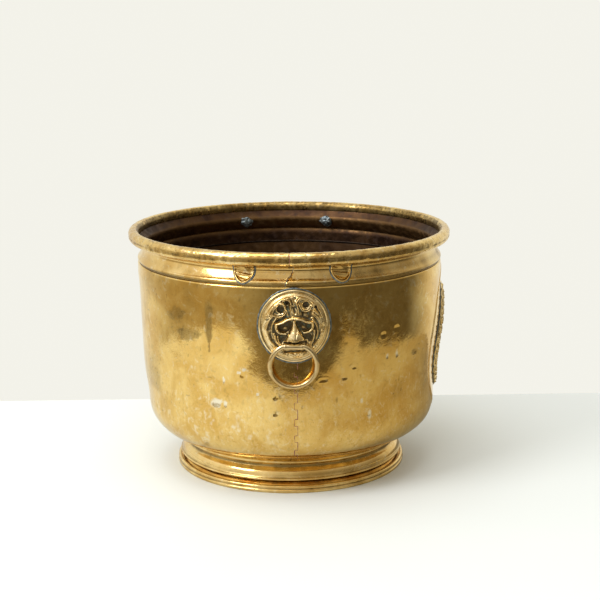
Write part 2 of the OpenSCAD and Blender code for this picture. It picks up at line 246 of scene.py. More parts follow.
def wall_lift(p):
    """How far the wall stands out of its true surface at points p"""
    angle = np.degrees(np.arctan2(p[..., 0], -p[..., 1]))
    across = p[..., 0]
    z = p[..., 2]
    front = np.where(p[..., 1] < 0, 0, 99)
    keep = smooth((z - 34) / 14)
    lift = 0.30 * noise(p, 62, 11) + 0.13 * noise(p, 27, 12, (1, 1, 1.4))
    lift = lift + 0.075 * noise(p, 14, 13, (1, 1, 1.5)) + 0.008 * noise(p, 5, 14, (1, 1, 1.6))
    for at, height, amount, reach, tall in BULGES:
        turn = (angle - at + 180) % 360 - 180
        lift = lift + amount * np.exp(-(turn / reach) ** 2 - ((z - height) / tall) ** 2)
    shift = 0.22 * noise(p, 2.6, 17)
    for x, height, wide, tall, depth in KNOCKS:
        d = np.hypot((across - x) / wide, (z - height) / tall) + shift + front
        lift = lift - depth * hump(d) + 0.08 * depth * hump((d - 1.3) / 0.6)
    for x, height in PUNCHES:
        d = np.hypot(across - x, z - height) + front
        lift = lift - 0.8 * hump(d / 2.0) + 0.05 * hump((d - 2.4) / 1.0)
    crinkle = smooth((-20 - angle) / 30) * smooth((angle + 100) / 25) * np.exp(-((z - 74) / 30) ** 2)
    folds = noise(p, 5.5, 15, (1, 1, 4.5))
    creases = hump(noise(p, 13, 18, (1, 1, 3.5)) / 0.06)
    lift = lift + crinkle * (0.17 * folds - 0.16 * creases)
    beaten = np.exp(-((z - 66) / 30) ** 2)
    lift = lift + beaten * (0.05 * noise(p, 8, 16) + 0.016 * noise(p, 3.4, 19))
    return lift * keep


def wall_tarnish_and_shading(p):
    """How dull and dark the outside of the wall is, and below zero how pale: rubbed spots, and painted
    highlight below punch marks and on the left side
    """
    x, z = p[..., 0], p[..., 2]
    front = p[..., 1] < 0
    edge = 0.3 * noise(p, 4, 36) + 0.15 * noise(p, 1.6, 37)
    clouds = 0.4 * np.clip(rough(p, 34, 31, 3) - 0.15, 0, 1)
    width = 1.6 + 2.4 * smooth((z - 156) / 8) + 0.8 * noise(p, 9, 33)
    streak = smooth((1.2 - np.abs(x - STREAK_X) / width + 0.6 * edge) / 0.7)
    streak = streak * smooth((z - 146) / 3) * smooth((209 - z) / 22)
    # Darker towards the bottom, just above the foot.
    low_darkening = 0.5 * smooth((44 - z) / 9) * (0.7 + 0.5 * noise(p, 6, 34))
    pits = np.clip(noise(p, 2.6, 35) - 0.72, 0, 1) * 2

    def spots(table, soft):
        """1 within each spot of a table, fading out at its ragged edge"""
        apart = [np.hypot((x - sx) / wide, (z - sz) / tall) for sx, sz, wide, tall in table]
        return smooth((1.15 - np.minimum.reduce(apart) + edge) / soft)

    marks, pale = 0.46 * spots(STAINS, 0.5), spots(FLECKS, 0.6)
    # Each punch mark is darkened in its pit and gets a painted highlight on its lower rim, just below it.
    for kx, kz in PUNCHES:
        marks = np.maximum(marks, 0.95 * hump(np.hypot(x - kx, z - kz - 0.3) / 1.6))
        pale = np.maximum(pale, 0.9 * hump(np.hypot(x - kx, z - kz + 2.2) / 1.4))
    marks = np.where(front, np.maximum(marks, 0.62 * streak), 0)
    flaky = noise(p, 6, 38, (1, 1, 1.8)) + 0.6 * noise(p, 2.4, 39, (1, 1, 1.5))
    # Partly rubbed pale flecks, partly painted highlight: they fade out towards +X, so the lit left side
    # reads paler.
    rubbed_and_lit = smooth((flaky - 0.38) / 0.5) * np.exp(-((z - 72) / 28) ** 2)
    pale = np.where(front, 0.85 * pale, 0) + 0.45 * rubbed_and_lit * smooth((60 - x) / 120)
    return np.clip(np.clip(clouds + marks + low_darkening + pits, 0, 1) - pale, -1, 1)


def lap_x(z):
    """Where the neck band's overlapping end runs across the front at height z"""
    return NECK_JOINT_X - 7.5 * smooth((232 - z) / 14)


def neck_lift(p):
    """The neck band's unevenness, and the step where one end laps over the other"""
    x, z = p[..., 0], p[..., 2]
    front = p[..., 1] < 0
    edge = lap_x(z) + 1.5 * noise(p, 7, 42)
    lap = smooth((x - edge) / 0.8) * (1 - smooth((x - 15) / 6)) * smooth((z - 215) / 3)
    return 0.16 * noise(p, 55, 41) + 0.05 * noise(p, 17, 43) + np.where(front, 0.55 * lap, 0)


def turned(p, angle):
    """Points turned about the pot's axis, with the front mask's place going towards +X"""
    c, s = math.cos(angle), math.sin(angle)
    p = np.asarray(p, float)
    return np.stack([c * p[..., 0] - s * p[..., 1], s * p[..., 0] + c * p[..., 1], p[..., 2]], -1)


def placed(r, angle, z):
    """Points at distance r from the pot's axis, at an angle round it and at height z"""
    return np.stack([r * np.sin(angle), -r * np.cos(angle), z + 0 * angle], -1)


def off_axis(p):
    return np.hypot(p[..., 0], p[..., 1])


def radial(p):
    """Unit directions straight out from the pot's axis"""
    out = p * [1, 1, 0]
    return out / np.linalg.norm(out, axis=-1, keepdims=True)


def front_wall(u, z):
    """Points on the true wall, u across and z up as seen from the front"""
    r = wall_r(z)
    return np.stack([u, -np.sqrt(r * r - u * u), z + 0 * u], -1)


def on_wall(u, z, turn, out):
    """Points on the uneven wall, seen from the side at angle turn and lifted by out"""
    p = turned(front_wall(u, z), turn)
    facing = turned([0, -1, 0], turn)
    return p + radial(p) * wall_lift(p)[..., None] + facing * np.asarray(out)[..., None]


def on_neck(u, z, turn, out):
    """Points on the neck band, u round it and z up, lifted by out"""
    p = placed(neck_r(z), u / NECK_IN + turn, z)
    return p + radial(p) * (neck_lift(p) + out)[..., None]


# ---------------------------------------------------------------- shells: points, faces, tarnish
def grid_faces(rows, columns, loop_rows, loop_columns):
    """Four-sided faces between the points of a grid, closed on itself where loop says so"""
    i = np.arange(rows if loop_rows else rows - 1)[:, None]
    j = np.arange(columns if loop_columns else columns - 1)[None]
    below, right = (i + 1) % rows, (j + 1) % columns
    quads = [i * columns + j, i * columns + right, below * columns + right, below * columns + j]
    return np.stack(np.broadcast_arrays(*quads), -1).reshape(-1, 4).tolist()


def shell(points, faces, tarnish_and_shading=None, slots=None):
    """One closed surface: points, faces, each point's tarnishing and painted shading, and each face's
    material
    """
    points = np.asarray(points, float).reshape(-1, 3)
    tarnish_and_shading = np.zeros(len(points)) if tarnish_and_shading is None else np.broadcast_to(tarnish_and_shading, len(points))
    return {"points": points, "faces": faces, "tarnish_and_shading": tarnish_and_shading,
            "slots": np.zeros(len(faces), int) if slots is None else slots}


def revolve(section, push, angles, lift, tarnish_and_shading=None, slots=None):
    """Closed ring round the pot's axis. Each point of its section moves along push by lift."""
    section, push = np.asarray(section, float), np.asarray(push, float)
    r, z = section[:, :1], section[:, 1:]
    p = placed(r, angles[None], z)
    d = lift(p)
    moved = placed(r + push[:, :1] * d, angles[None], z + push[:, 1:] * d)
    dark = None if tarnish_and_shading is None else tarnish_and_shading(p).ravel()
    row_slots = None if slots is None else np.repeat(slots, len(angles))
    return shell(moved, grid_faces(len(section), len(angles), True, True), dark, row_slots)


def loop_normals(section):
    """Outward unit directions of a closed section"""
    section = np.asarray(section, float)
    t = np.roll(section, -1, 0) - np.roll(section, 1, 0)
    n = np.stack([t[:, 1], -t[:, 0]], -1)
    n /= np.maximum(np.linalg.norm(n, axis=1, keepdims=True), 1e-9)
    area = np.sum(section[:, 0] * np.roll(section[:, 1], -1) - np.roll(section[:, 0], -1) * section[:, 1])
    return n * np.sign(area)


def around(n, start=0.0):
    """n angles, evenly spaced over one turn"""
    return np.linspace(start, start + 2 * math.pi, n, endpoint=False)


def ring_angles(n):
    return around(n, -math.pi)


def button(edge, relief, place, rings, segments, sunk, tarnish_and_shading=None):
    """Low relief on a surface. edge(a) is its outline's distance from the middle at angle a."""
    a = around(segments)[None]
    t = (np.arange(1, rings + 1) / rings)[:, None]
    u, v = t * edge(a) * np.sin(a), t * edge(a) * np.cos(a)
    top = place(u, v, relief(u, v))
    floor = place(u[-1:], v[-1:], 0 * u[-1:] - sunk)
    centre = np.zeros(1)
    pair = np.zeros((1, 2))
    middle = place(pair, pair, np.array([[relief(centre, centre)[0], -sunk]]))
    points = np.concatenate([top.reshape(-1, 3), floor.reshape(-1, 3), middle.reshape(-1, 3)])
    faces = grid_faces(rings + 1, segments, False, True)
    peak, pit = len(points) - 2, len(points) - 1
    last = rings * segments
    nxt = [(j + 1) % segments for j in range(segments)]
    faces += [[peak, nxt[j], j] for j in range(segments)]
    faces += [[last + j, last + nxt[j], pit] for j in range(segments)]
    dark = np.zeros(len(points))
    if tarnish_and_shading is not None:
        dark[:last] = tarnish_and_shading(u, v).ravel()
        dark[last:last + segments] = 1
        dark[peak] = tarnish_and_shading(centre, centre)[0]
    return shell(points, faces, dark)


def directions(path, closed):
    """Unit directions along a path, at each of its points"""
    step = np.roll(path, -1, 0) - np.roll(path, 1, 0) if closed else np.gradient(path, axis=0)
    return step / np.maximum(np.linalg.norm(step, axis=1, keepdims=True), 1e-9)


def sweep(path, up, section, closed, tarnish_and_shading=None):
    """Section points (across, up) swept along a path; section is one set, or one for each point"""
    path, up = np.asarray(path, float), np.asarray(up, float)
    along = directions(path, closed)
    up = np.broadcast_to(up, path.shape)
    across = np.cross(along, up)
    across /= np.linalg.norm(across, axis=1, keepdims=True)
    up = np.cross(across, along)
    section = np.broadcast_to(section, (len(path),) + np.shape(section)[-2:])
    points = (path[:, None] + across[:, None] * section[..., :1] + up[:, None] * section[..., 1:])
    n, k = len(path), section.shape[1]
    faces = grid_faces(n, k, closed, True)
    if not closed:
        faces += [list(range(k)), [(n - 1) * k + j for j in reversed(range(k))]]
    return shell(points, faces, tarnish_and_shading)


def bead(path, up, width, height, closed, seed, waver=0.25):
    """A drawn-out drop of solder or a worn line: a low rounded ridge whose size wavers"""
    path = np.asarray(path, float)
    a = np.linspace(0, math.pi, 10)
    dome = np.stack([np.cos(a), np.sin(a)], -1)
    foot = np.array([[-0.9, -0.6], [0.9, -0.6]])
    unit = np.concatenate([dome, foot])
    size = 1 + waver * noise(path, 3.2, seed) + 0.5 * waver * noise(path, 9, seed + 1)
    section = unit[None] * np.array([width, height]) * size[:, None, None]
    return sweep(path, up, section, closed)


def joined(shells):
    """Several shells as one"""
    offset, faces = 0, []
    for s in shells:
        faces += [[v + offset for v in f] for f in s["faces"]]
        offset += len(s["points"])
    return {"points": np.concatenate([s["points"] for s in shells]), "faces": faces,
            "tarnish_and_shading": np.concatenate([s["tarnish_and_shading"] for s in shells]),
            "slots": np.concatenate([s["slots"] for s in shells])}


def volume_of(part):
    """Six times a shell's volume, below zero when its faces point inwards"""
    total = 0.0
    p = part["points"]
    for size in (3, 4):
        f = np.array([x for x in part["faces"] if len(x) == size], int)
        for k in range(1, size - 1):
            if len(f):
                total += np.einsum("ij,ij->i", p[f[:, 0]], np.cross(p[f[:, k]], p[f[:, k + 1]])).sum()
    return total


def piece(name, shells, materials, replaces=(), body="pot", sharp=None):
    """A Blender object from closed shells, riding on a body and standing for CAD nodes"""
    for s in shells:
        if volume_of(s) < 0:
            s["faces"] = [f[::-1] for f in s["faces"]]
    whole = joined(shells)
    mesh = bpy.data.meshes.new(name)
    mesh.from_pydata((whole["points"] * MM).tolist(), [], whole["faces"])
    mesh.validate()
    mesh.shade_smooth()
    if sharp:
        mesh.set_sharp_from_angle(angle=math.radians(sharp))
    for m in materials:
        mesh.materials.append(m)
    mesh.polygons.foreach_set("material_index", whole["slots"].astype(np.int32))
    # Each point's value here is real tarnishing plus painted shading: painted shade in recesses and grooves,
    # painted highlight on lit spots.
    layer = mesh.attributes.new("tarnish_and_shading", "FLOAT", "POINT")
    layer.data.foreach_set("value", whole["tarnish_and_shading"].astype(np.float32))
    made = bpy.data.objects.new(name, mesh)
    bpy.context.scene.collection.objects.link(made)
    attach(made, body)
    if replaces:
        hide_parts(*replaces)


# ---------------------------------------------------------------- materials
class Nodes:
    """Short calls for the nodes of one tree. A value is a number, a colour or a node's output."""

    def __init__(self, tree, coordinates):
        self.tree = tree
        self.place = self.node("TexCoord").outputs[coordinates]

    def put(self, socket, value):
        if isinstance(value, bpy.types.NodeSocket):
            self.tree.links.new(value, socket)
        else:
            socket.default_value = (*value, 1) if isinstance(value, tuple) else value

    def node(self, kind, *values):
        """A new node with the values put into its first inputs"""
        made = self.tree.nodes.new("ShaderNode" + kind)
        for socket, value in zip(made.inputs, values):
            self.put(socket, value)
        return made

    def axes(self):
        return self.node("SeparateXYZ", self.place).outputs

    def window(self, value, low, high, start=0.0, end=1.0):
        """start where value is at low or below, end where it is at high or above"""
        node = self.node("MapRange", value, low, high, start, end)
        node.interpolation_type = "SMOOTHSTEP"
        return node.outputs[0]

    def blend(self, share, a, b):
        node = self.node("Mix", share)
        node.data_type = "RGBA"
        self.put(node.inputs[6], a)
        self.put(node.inputs[7], b)
        return node.outputs[2]


class Maker(Nodes):
    """Builds one node material"""

    def __init__(self, name):
        self.material = bpy.data.materials.new(name)
        self.material.use_nodes = True
        super().__init__(self.material.node_tree, "Object")
        self.shader = self.tree.nodes["Principled BSDF"]

    def noise(self, size, detail=4, stretch=None, rough=0.55, warp=0.0):
        """Noise whose lumps are about size millimetres across"""
        node = self.node("TexNoise")
        for key, value in (("Scale", 1 / (size * MM)), ("Detail", detail), ("Roughness", rough),
                           ("Distortion", warp)):
            node.inputs[key].default_value = value
        where = self.place
        if stretch:
            mapping = self.node("Mapping", where)
            mapping.inputs["Scale"].default_value = stretch
            where = mapping.outputs[0]
        self.put(node.inputs["Vector"], where)
        return node.outputs["Fac"]

    def sum(self, a, b):
        node = self.node("Math", a, b)
        node.operation = "ADD"
        node.use_clamp = True
        return node.outputs[0]

    def product(self, a, b):
        node = self.node("Math", a, b)
        node.operation = "MULTIPLY"
        return node.outputs[0]

    def attribute(self, name):
        node = self.node("Attribute")
        node.attribute_name = name
        return node.outputs["Fac"]

    def bumps(self, *layers):
        """Bump layers, each a height and how deep it is in millimetres"""
        normal = self.shader.inputs["Normal"]
        for value, depth in reversed(layers):
            node = self.node("Bump")
            node.inputs["Distance"].default_value = depth * MM
            self.put(node.inputs["Height"], value)
            self.put(normal, node.outputs[0])
            normal = node.inputs["Normal"]

    def finish(self, colour, roughness, metallic=1.0):
        self.put(self.shader.inputs["Base Color"], colour)
        self.put(self.shader.inputs["Roughness"], roughness)
        self.put(self.shader.inputs["Metallic"], metallic)
        return self.material


GOLD = (0.92, 0.66, 0.24)
DEEP_GOLD = (0.76, 0.48, 0.13)
PALE_GOLD = (0.98, 0.87, 0.60)
RED_GOLD = (0.58, 0.33, 0.07)
OLIVE = (0.19, 0.125, 0.04)
BROWN = (0.085, 0.042, 0.022)


def brass(name, gold=GOLD, deep=DEEP_GOLD, dark=OLIVE, shine=(0.04, 0.11), speck=0.5, depth=0.02,
          beaten=0.0):
    """Polished old brass: cloudy gold, dull and dark where the tarnishing and shading attribute is high, pale
    where it is below zero, with scratches, specks and pits.

    beaten says how strongly its lower part is flecked.
    """
    m = Maker(name)
    cloud = m.noise(38, 5, warp=0.6)
    mottle = m.noise(7, 6, warp=0.8)
    streak = m.noise(9, 4, stretch=(1, 1, 0.22))
    scratch = m.noise(1.1, 3, stretch=(1, 1, 0.06))
    grain = m.noise(1.6, 5)
    tarnish_and_shading = m.attribute("tarnish_and_shading")
    colour = m.blend(m.window(cloud, 0.36, 0.66), gold, deep)
    colour = m.blend(m.window(streak, 0.5, 0.72, 0, 0.5), colour, deep)
    colour = m.blend(m.window(mottle, 0.56, 0.72, 0, 0.5), colour, PALE_GOLD)
    if beaten:
        flecks = m.noise(3.6, 4, stretch=(1, 1, 0.65), rough=0.75, warp=0.7)
        broad = m.window(m.noise(17, 3), 0.35, 0.62, 0.25, 1)
        low = m.product(m.window(m.axes()["Z"], 0.15, 0.07, 0.15, beaten), broad)
        colour = m.blend(m.product(m.window(flecks, 0.52, 0.68), low), colour, PALE_GOLD)
        colour = m.blend(m.product(m.window(flecks, 0.3, 0.46, 1, 0), low), colour, RED_GOLD)
    # Pale where the attribute is below zero: rubbed spots, and painted highlight on the wall.
    colour = m.blend(m.window(tarnish_and_shading, -0.9, -0.05, 0.9, 0), colour, (1.0, 0.95, 0.78))
    dull = m.sum(m.window(tarnish_and_shading, 0, 1), m.window(mottle, 0.3, 0.44, 0.2, 0))
    colour = m.blend(m.product(dull, 0.9), colour, dark)
    colour = m.blend(m.window(grain, 0.66, 0.76, 0, speck), colour, BROWN)
    worn = m.window(mottle, 0.3, 0.7, *shine)
    scored = m.sum(m.window(scratch, 0.55, 0.75, 0, 0.06), m.window(tarnish_and_shading, 0.1, 1, 0, 0.26))
    scored = m.sum(scored, m.window(tarnish_and_shading, -0.9, -0.1, 0.12, 0))
    m.bumps((mottle, depth * 1.8), (grain, depth * 0.7), (scratch, depth * 0.3))
    return m.finish(colour, m.sum(worn, scored))


def patina(name):
    """Inside of the pot: brown and purple-brown patina over brass, with pale specks"""
    m = Maker(name)
    cloud = m.noise(30, 6, warp=1.0)
    mottle = m.noise(6, 6)
    grain = m.noise(1.8, 4)
    tarnish_and_shading = m.attribute("tarnish_and_shading")
    colour = m.blend(m.window(cloud, 0.35, 0.68), (0.030, 0.014, 0.012), (0.085, 0.042, 0.020))
    colour = m.blend(m.window(mottle, 0.55, 0.75, 0, 0.7), colour, (0.02, 0.009, 0.011))
    colour = m.blend(m.product(tarnish_and_shading, 0.9), (0.16, 0.088, 0.032), colour)
    colour = m.blend(m.window(grain, 0.72, 0.78, 0, 0.7), colour, (0.30, 0.28, 0.25))
    m.bumps((mottle, 0.16), (grain, 0.08))
    return m.finish(colour, m.window(mottle, 0.3, 0.7, 0.36, 0.62), m.window(mottle, 0.5, 0.7, 0.9, 0.55))


def cast(name):
    """Cast brass: bright where it is rubbed, green-black in the hollows"""
    m = Maker(name)
    mottle = m.noise(5, 6)
    grain = m.noise(0.9, 5)
    verdigris = m.noise(4.5, 3)
    tarnish_and_shading = m.attribute("tarnish_and_shading")
    level = m.sum(tarnish_and_shading, m.window(grain, 0.4, 0.75, 0, 0.14))
    colour = m.blend(m.window(mottle, 0.35, 0.65), (1.0, 0.83, 0.50), (0.84, 0.62, 0.28))
    colour = m.blend(m.window(level, 0.46, 0.8), colour, (0.42, 0.31, 0.13))
    hollow = m.blend(m.window(verdigris, 0.54, 0.64, 0, 0.85), (0.15, 0.115, 0.06), (0.20, 0.26, 0.21))
    colour = m.blend(m.window(level, 0.6, 0.86), colour, hollow)
    m.bumps((mottle, 0.05), (grain, 0.04))
    return m.finish(colour, m.window(level, 0.25, 0.85, 0.2, 0.66), m.window(level, 0.65, 0.95, 1, 0.55))


def plain_metal(name, first, second, spot, shine, size, depth):
    """Solder, braze or iron: two mottled tones, spots and a lumpy dull surface"""
    m = Maker(name)
    mottle = m.noise(size, 6)
    grain = m.noise(size * 0.3, 4)
    colour = m.blend(m.window(mottle, 0.38, 0.62), first, second)
    colour = m.blend(m.window(grain, 0.62, 0.74, 0, 0.8), colour, spot)
    m.bumps((mottle, depth), (grain, depth * 0.5))
    return m.finish(colour, m.window(mottle, 0.3, 0.7, *shine), 0.9)


HAMMERED = brass("hammered_brass", beaten=0.7)
POLISHED = brass("polished_brass", (0.93, 0.69, 0.30), (0.73, 0.47, 0.15), shine=(0.07, 0.18),
                 speck=0.25, depth=0.01)
HANDLED = brass("handled_brass", (0.86, 0.71, 0.43), (0.66, 0.49, 0.24), shine=(0.12, 0.26),
                speck=0.3, depth=0.01)
WORN_RIM = brass("worn_rim_brass", (0.90, 0.66, 0.27), (0.62, 0.38, 0.11), (0.10, 0.065, 0.022),
                 shine=(0.12, 0.28), speck=0.8, depth=0.05)
PATINA = patina("inner_patina")
CAST = cast("cast_brass")
SOLDER = plain_metal("soft_solder", (0.10, 0.13, 0.15), (0.26, 0.30, 0.32), (0.04, 0.05, 0.05),
                     (0.3, 0.55), 3, 0.12)
# Solder coloured nearly black as painted shade, so the joints under the neck band's flange and atop the foot
# read as shadow lines.
SOLDER_DARK_AS_SHADE = plain_metal("solder_darkened_as_shade", (0.03, 0.02, 0.016), (0.06, 0.042, 0.03), (0.10, 0.085, 0.07),
                         (0.5, 0.7), 3, 0.12)
BRAZE = plain_metal("brazing", (0.30, 0.13, 0.13), (0.45, 0.22, 0.15), (0.10, 0.04, 0.06),
                    (0.35, 0.6), 2.5, 0.1)
IRON = plain_metal("iron_wire", (0.08, 0.07, 0.065), (0.14, 0.09, 0.06), (0.2, 0.07, 0.03),
                   (0.5, 0.8), 4, 0.1)


# ---------------------------------------------------------------- body, neck and rim
def front_dense_angles():
    """Angles round the pot, closest at the seam in front and widest behind"""
    knots = [(-180, -75, 1.0), (-75, -2, 0.52), (-2, 3.2, 0.2), (3.2, 75, 0.52), (75, 180, 0.9)]
    parts = [np.linspace(a, b, int(round((b - a) / step)), endpoint=False) for a, b, step in knots]
    return np.radians(np.concatenate(parts))


def sheet_ring(line, angles, lift, tarnish_and_shading):
    """A ring of sheet brass that follows an outer line; the inside takes the second material"""
    push = line_normals(line)
    inner = (line - push * SHEET)[::-1]
    section = np.concatenate([line, inner])
    slots = np.concatenate([np.zeros(len(line)), np.ones(len(line))]).astype(int)
    return revolve(section, np.concatenate([push, push[::-1]]), angles, lift, tarnish_and_shading, slots)


def build_wall():
    line = wall_outline(1.45)

    def tarnish_and_shading(p):
        half = len(line)
        inside = 0.75 + 0.3 * noise(p[half:], 25, 51)
        inside = inside * smooth((SHOULDER_Z + 2 - p[half:, :, 2]) / 12)
        return np.concatenate([wall_tarnish_and_shading(p[:half]), inside])

    wall = sheet_ring(line, front_dense_angles(), wall_lift, tarnish_and_shading)
    piece("pot_wall", [wall], [HAMMERED, PATINA], ["body_wall"], sharp=50)


def seam_path(depth):
    """The castellated brazed line, as points across and up, from the foot to the shoulder"""
    pitch = SEAM_LONG + SEAM_SHORT
    corners = []
    for z in np.arange(SEAM_LOW_Z, SHOULDER_Z - pitch, pitch):
        corners += [(SEAM_RIGHT, z), (SEAM_RIGHT, z + SEAM_LONG), (SEAM_LEFT, z + SEAM_LONG),
                    (SEAM_LEFT, z + pitch)]
    corners = np.array(corners)
    length = np.concatenate([[0], np.cumsum(np.hypot(*np.diff(corners, axis=0).T))])
    s = np.arange(0, length[-1], 0.8)
    p = front_wall(np.interp(s, length, corners[:, 0]), np.interp(s, length, corners[:, 1]))
    return p + radial(p) * (wall_lift(p) - depth)[:, None]


def build_seams():
    outside = seam_path(0.06)
    inside = seam_path(SHEET - 0.06)
    lines = [bead(outside, radial(outside), 0.34, 0.14, False, 61, waver=0.6),
             bead(inside, -radial(inside), 0.8, 0.3, False, 62, waver=0.5)]
    piece("wall_seam_brazing", lines, [BRAZE], ["wall_seam_braze"])
    angles = ring_angles(360)
    section = arc((BASE_R - 0.3, BASE_Z + SHEET * 0.5), 0.9, 0, 330, 11)
    ring = revolve(section, loop_normals(section), angles, lambda p: 0.25 * noise(p, 4, 63))
    piece("base_seam_brazing", [ring], [BRAZE], ["base_seam_braze"])


def build_base():
    radii = np.linspace(BASE_R - 0.6, 0.5, 60)
    top = [(r, BASE_Z + SHEET) for r in radii]
    under = [(r, BASE_Z) for r in radii[::-1]]
    section = np.array(top + under)
    push = np.tile([0.0, 1.0], (len(section), 1))

    def lift(p):
        r = off_axis(p)
        flat = smooth((BASE_R - r) / 8)
        return flat * (0.25 * noise(p, 45, 71) + 0.06 * noise(p, 14, 72) + 0.05 * np.sin(r / 3.1))

    slots = np.concatenate([np.ones(len(top)), np.zeros(len(under))]).astype(int)
    disc = revolve(section, push, ring_angles(300), lift, lambda p: 0.8 + 0.3 * noise(p, 30, 73), slots)
    piece("base_disc", [disc], [HAMMERED, PATINA], ["base_plate"], sharp=50)


def build_neck():
    def tarnish_and_shading(p):
        inner = np.arange(len(p))[:, None] >= len(NECK_LINE)
        up = p[..., 2] - SHOULDER_Z
        # Painted shade: the front darkens towards +X, away from the light.
        shaded = 0.3 * smooth((p[..., 0] + 20) / 70) * (p[..., 1] < 0)
        # Painted shade in the recess just above the wall's top edge, in the waist groove and under the rim
        # roll; the noise after it adds tarnishing.
        hollow = shaded + 0.5 * hump((up - 10.5) / 1.6) + 0.95 * smooth((3.6 - up) / 1.4)
        hollow = hollow + 0.6 * smooth((up - 19.5) / 2)
        outside = hollow + 0.35 * np.clip(noise(p, 16, 44) - 0.2, 0, 1)
        # Inside, painted shade darkens the band below the shoulder and the top under the rim roll, and a
        # painted highlight lightens the inward bulge; the rest is patina.
        inside = 0.4 + 0.3 * noise(p, 12, 45) + 0.7 * smooth((1.5 - up) / 1.5)
        inside = inside + 0.6 * smooth((up - 17.5) / 1.5) - 0.35 * hump((up - 13) / 6)
        return np.clip(np.where(inner, inside, outside), 0, 1)

    angles = np.radians(np.concatenate([np.arange(-180, -8, 0.6), np.arange(-8, 9, 0.2),
                                        np.arange(9, 180, 0.6)]))
    band = sheet_ring(NECK_LINE, angles, neck_lift, tarnish_and_shading)
    piece("neck_collar", [band], [POLISHED, PATINA], ["neck_band"], sharp=50)
    z = np.linspace(SHOULDER_Z + 1, SHOULDER_Z + 21.5, 40)
    line = on_neck(lap_x(z), z, 0, 0 * z + 0.02)
    seam = bead(line, radial(line), 0.32, 0.16, False, 46, waver=0.5)
    piece("neck_lap_solder", [seam], [SOLDER], ["neck_seam_solder"])
    section = [(NECK_IN - 0.1, FLANGE_Z - 2.4), (NECK_IN - 0.1, FLANGE_Z + 0.1),
               (NECK_IN - SHEET - 0.1, FLANGE_Z + 0.1), (NECK_IN - 0.8, FLANGE_Z - 1.4)]
    fillet = revolve(section, loop_normals(section), ring_angles(420), lambda p: 0.3 * noise(p, 5, 47))
    piece("neck_joint_fillet", [fillet], [SOLDER_DARK_AS_SHADE], ["neck_joint_solder"])


def stadium(r, n):
    """Closed outline of the rim roll's section, r round its two centres"""
    return arc((ROLL_C, ROLL_TOP), r, 0, 180, n) + arc((ROLL_C, ROLL_LOW), r, 180, 360, n)


def rim_pits(p):
    """How deep the rim is pitted: small pits everywhere and a broken row along its middle"""
    row = hump((p[..., 2] - POT_H + 7.6 - 0.8 * noise(p, 14, 86)) / 1.3) * smooth(noise(p, 5, 87) + 0.75)
    outer = smooth((off_axis(p) - ROLL_C) / 2)
    return np.clip(0.40 - dimples(p, 3.3, 82), 0, 1) * 2.2 + 0.75 * row * outer


def rim_lift(p):
    """The rim's beaten and chiselled surface"""
    x = p[..., 0]
    hits = dimples(p * [1, 1, 1.3], 6.5, 81)
    worn = 0.36 * (hits - 0.45) + 0.10 * noise(p, 24, 83) + 0.12 * noise(p, 3.2, 88) - 0.34 * rim_pits(p)
    worn = np.clip(worn, -0.55, 0.17) - 0.06
    joint = np.where(p[..., 1] < 0, hump((x - RIM_JOINT_X - 0.3 * noise(p, 3, 84)) / 0.8), 0)
    outer = smooth((off_axis(p) - ROLL_C + 5) / 4)
    return worn * (0.4 + 0.6 * outer) - 0.55 * joint


def build_rim():
    section = stadium(ROLL_R, 22)

    def tarnish_and_shading(p):
        # Painted shade: the roll's inner side is darkened; the pits and noise add tarnishing, and some spots
        # are rubbed pale.
        inner = smooth((ROLL_C - 1.5 - off_axis(p)) / 2)
        dull = 0.65 * inner + 0.9 * rim_pits(p) + 0.3 * np.clip(noise(p, 15, 85), 0, 1)
        return np.clip(dull, 0, 1) - 0.3 * smooth((noise(p, 4, 89) - 0.3) / 0.4)

    roll = revolve(section, loop_normals(section), ring_angles(1000), rim_lift, tarnish_and_shading)
    piece("rim_roll_worn", [roll], [WORN_RIM], ["rim_roll"])
    width = RIM_JOINT_W / 2 / RIM_R
    centre = RIM_JOINT_X / RIM_R
    filler = np.array(stadium(ROLL_R - 0.45, 14)) - [ROLL_C, 0]
    path = placed(ROLL_C, centre + np.linspace(-width, width, 4), 0)
    strip = sweep(path, [0, 0, 1], filler, False)
    piece("rim_joint_brazing", [strip], [BRAZE], ["rim_joint_braze"])


